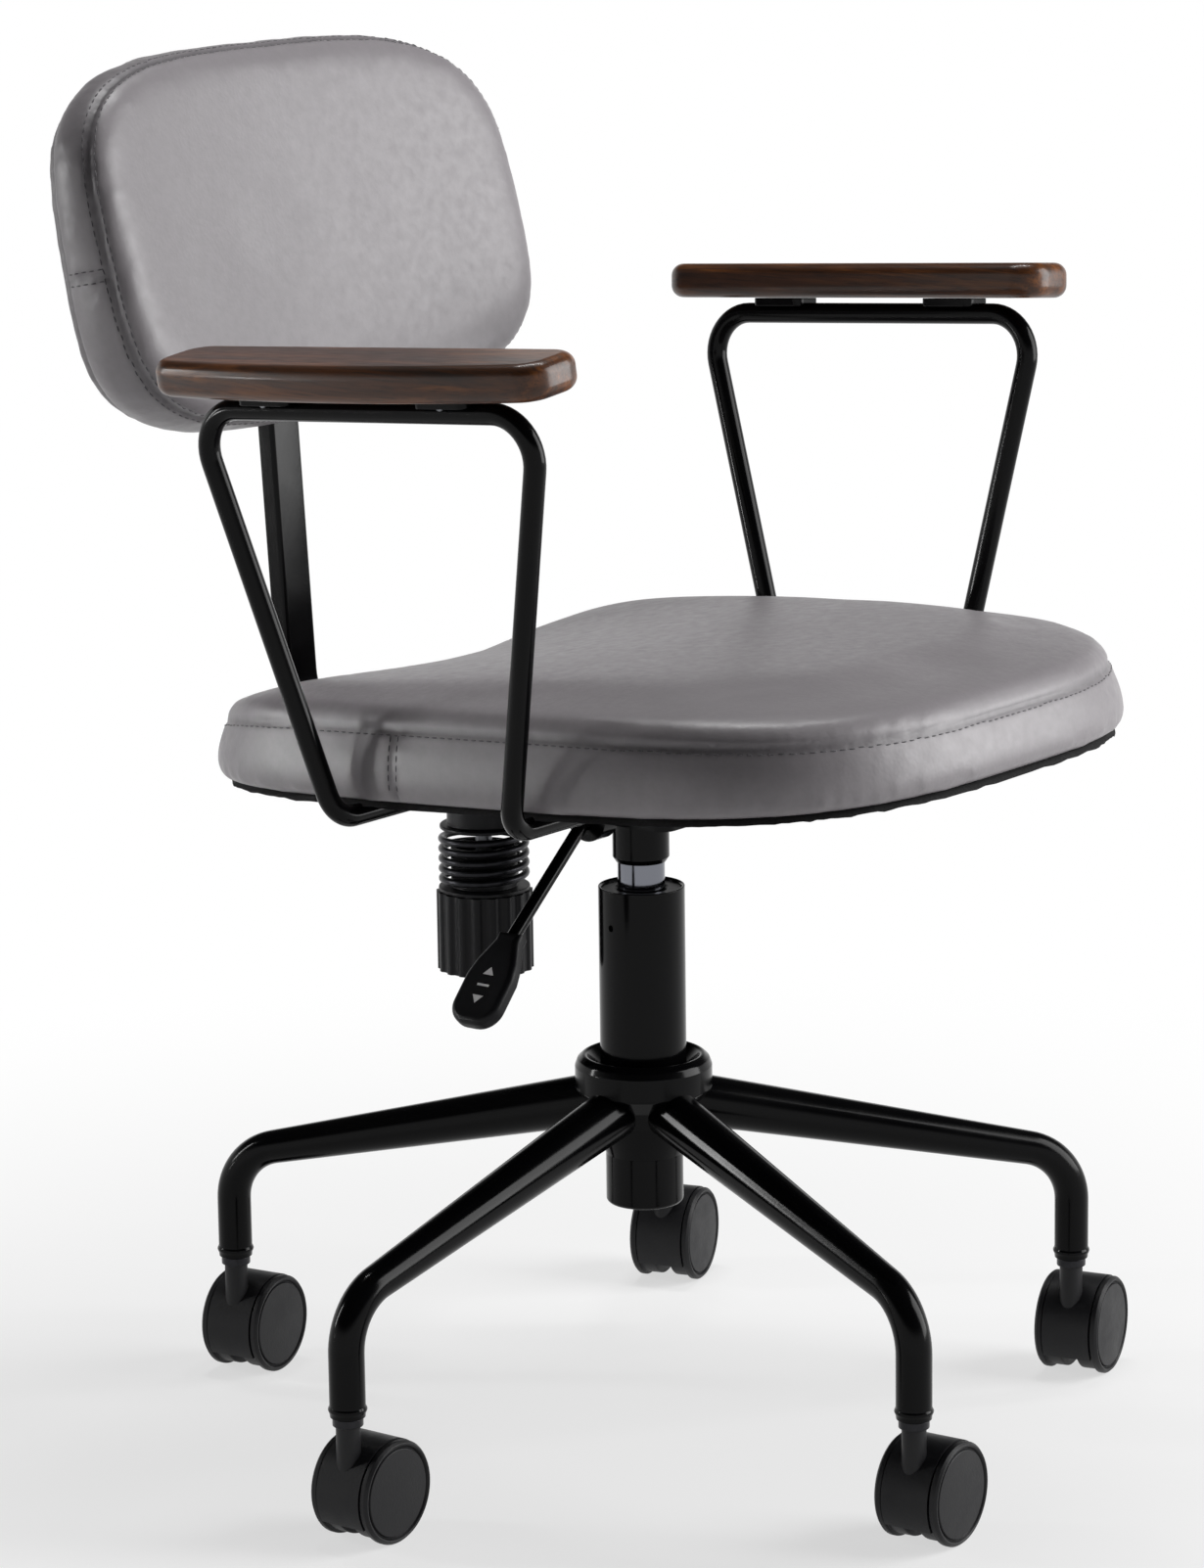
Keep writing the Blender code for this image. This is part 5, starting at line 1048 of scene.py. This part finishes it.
mesh.materials.append(paper)
floor = bpy.data.objects.new("studio_floor", mesh)
studio.collection.objects.link(floor)

room = bpy.data.worlds.new("studio_room")
room.use_nodes = True
studio.world = room
tree = room.node_tree
rays = node(tree, "LightPath")
direction = node(tree, "SeparateXYZ", {0: node(tree, "TexCoord").outputs["Generated"]})
low_wall = node(tree, "MapRange", {"Value": direction.outputs["Z"], "From Min": 0.15, "From Max": 0.40,
                                   "To Min": 1.0, "To Max": 0.0}, interpolation_type="SMOOTHSTEP")
mirrored = node(tree, "Math", {0: rays.outputs["Is Glossy Ray"], 1: low_wall.outputs[0]},
                operation="MULTIPLY")
seen = node(tree, "Math", {0: rays.outputs["Is Camera Ray"], 1: rays.outputs["Is Transmission Ray"]},
            operation="MAXIMUM")
seen = node(tree, "Math", {0: seen.outputs[0], 1: mirrored.outputs[0]}, operation="MAXIMUM")
ambient = tree.nodes["Background"]
ambient.inputs["Color"].default_value = linear("ffffff")
tree.links.new(node(tree, "MapRange", {"Value": seen.outputs[0], "To Min": 0.06,
                                       "To Max": 1.0}).outputs[0], ambient.inputs["Strength"])

ahead = Vector((outward.x, outward.y, 0)).normalized()
for label, right, near_side, height, wide, tall, power, beam in (
        ("right_panel", 2.25, 0.0, 1.25, 1.5, 2.0, 70.0, 180),
        ("left_panel", -2.2, -0.25, 0.95, 0.14, 0.9, 11.0, 180),
        ("left_grid", -2.2, 0.2, 0.40, 0.30, 0.30, 0.14, 15),
        ("top_strip", 0.0, -0.5, 2.3, 1.2, 0.05, 20.0, 180)):
    panel = bpy.data.lights.new(label, "AREA")
    panel.shape, panel.size, panel.size_y, panel.energy = "RECTANGLE", wide, tall, power
    panel.spread = math.radians(beam)
    lamp = bpy.data.objects.new(label, panel)
    studio.collection.objects.link(lamp)
    lamp.location = rightward * right + ahead * near_side + Vector((0, 0, height))
    lamp.rotation_euler = (Vector((0, 0, 0.45)) - lamp.location).to_track_quat("-Z", "Y").to_euler()

studio.view_settings.view_transform = "Standard"
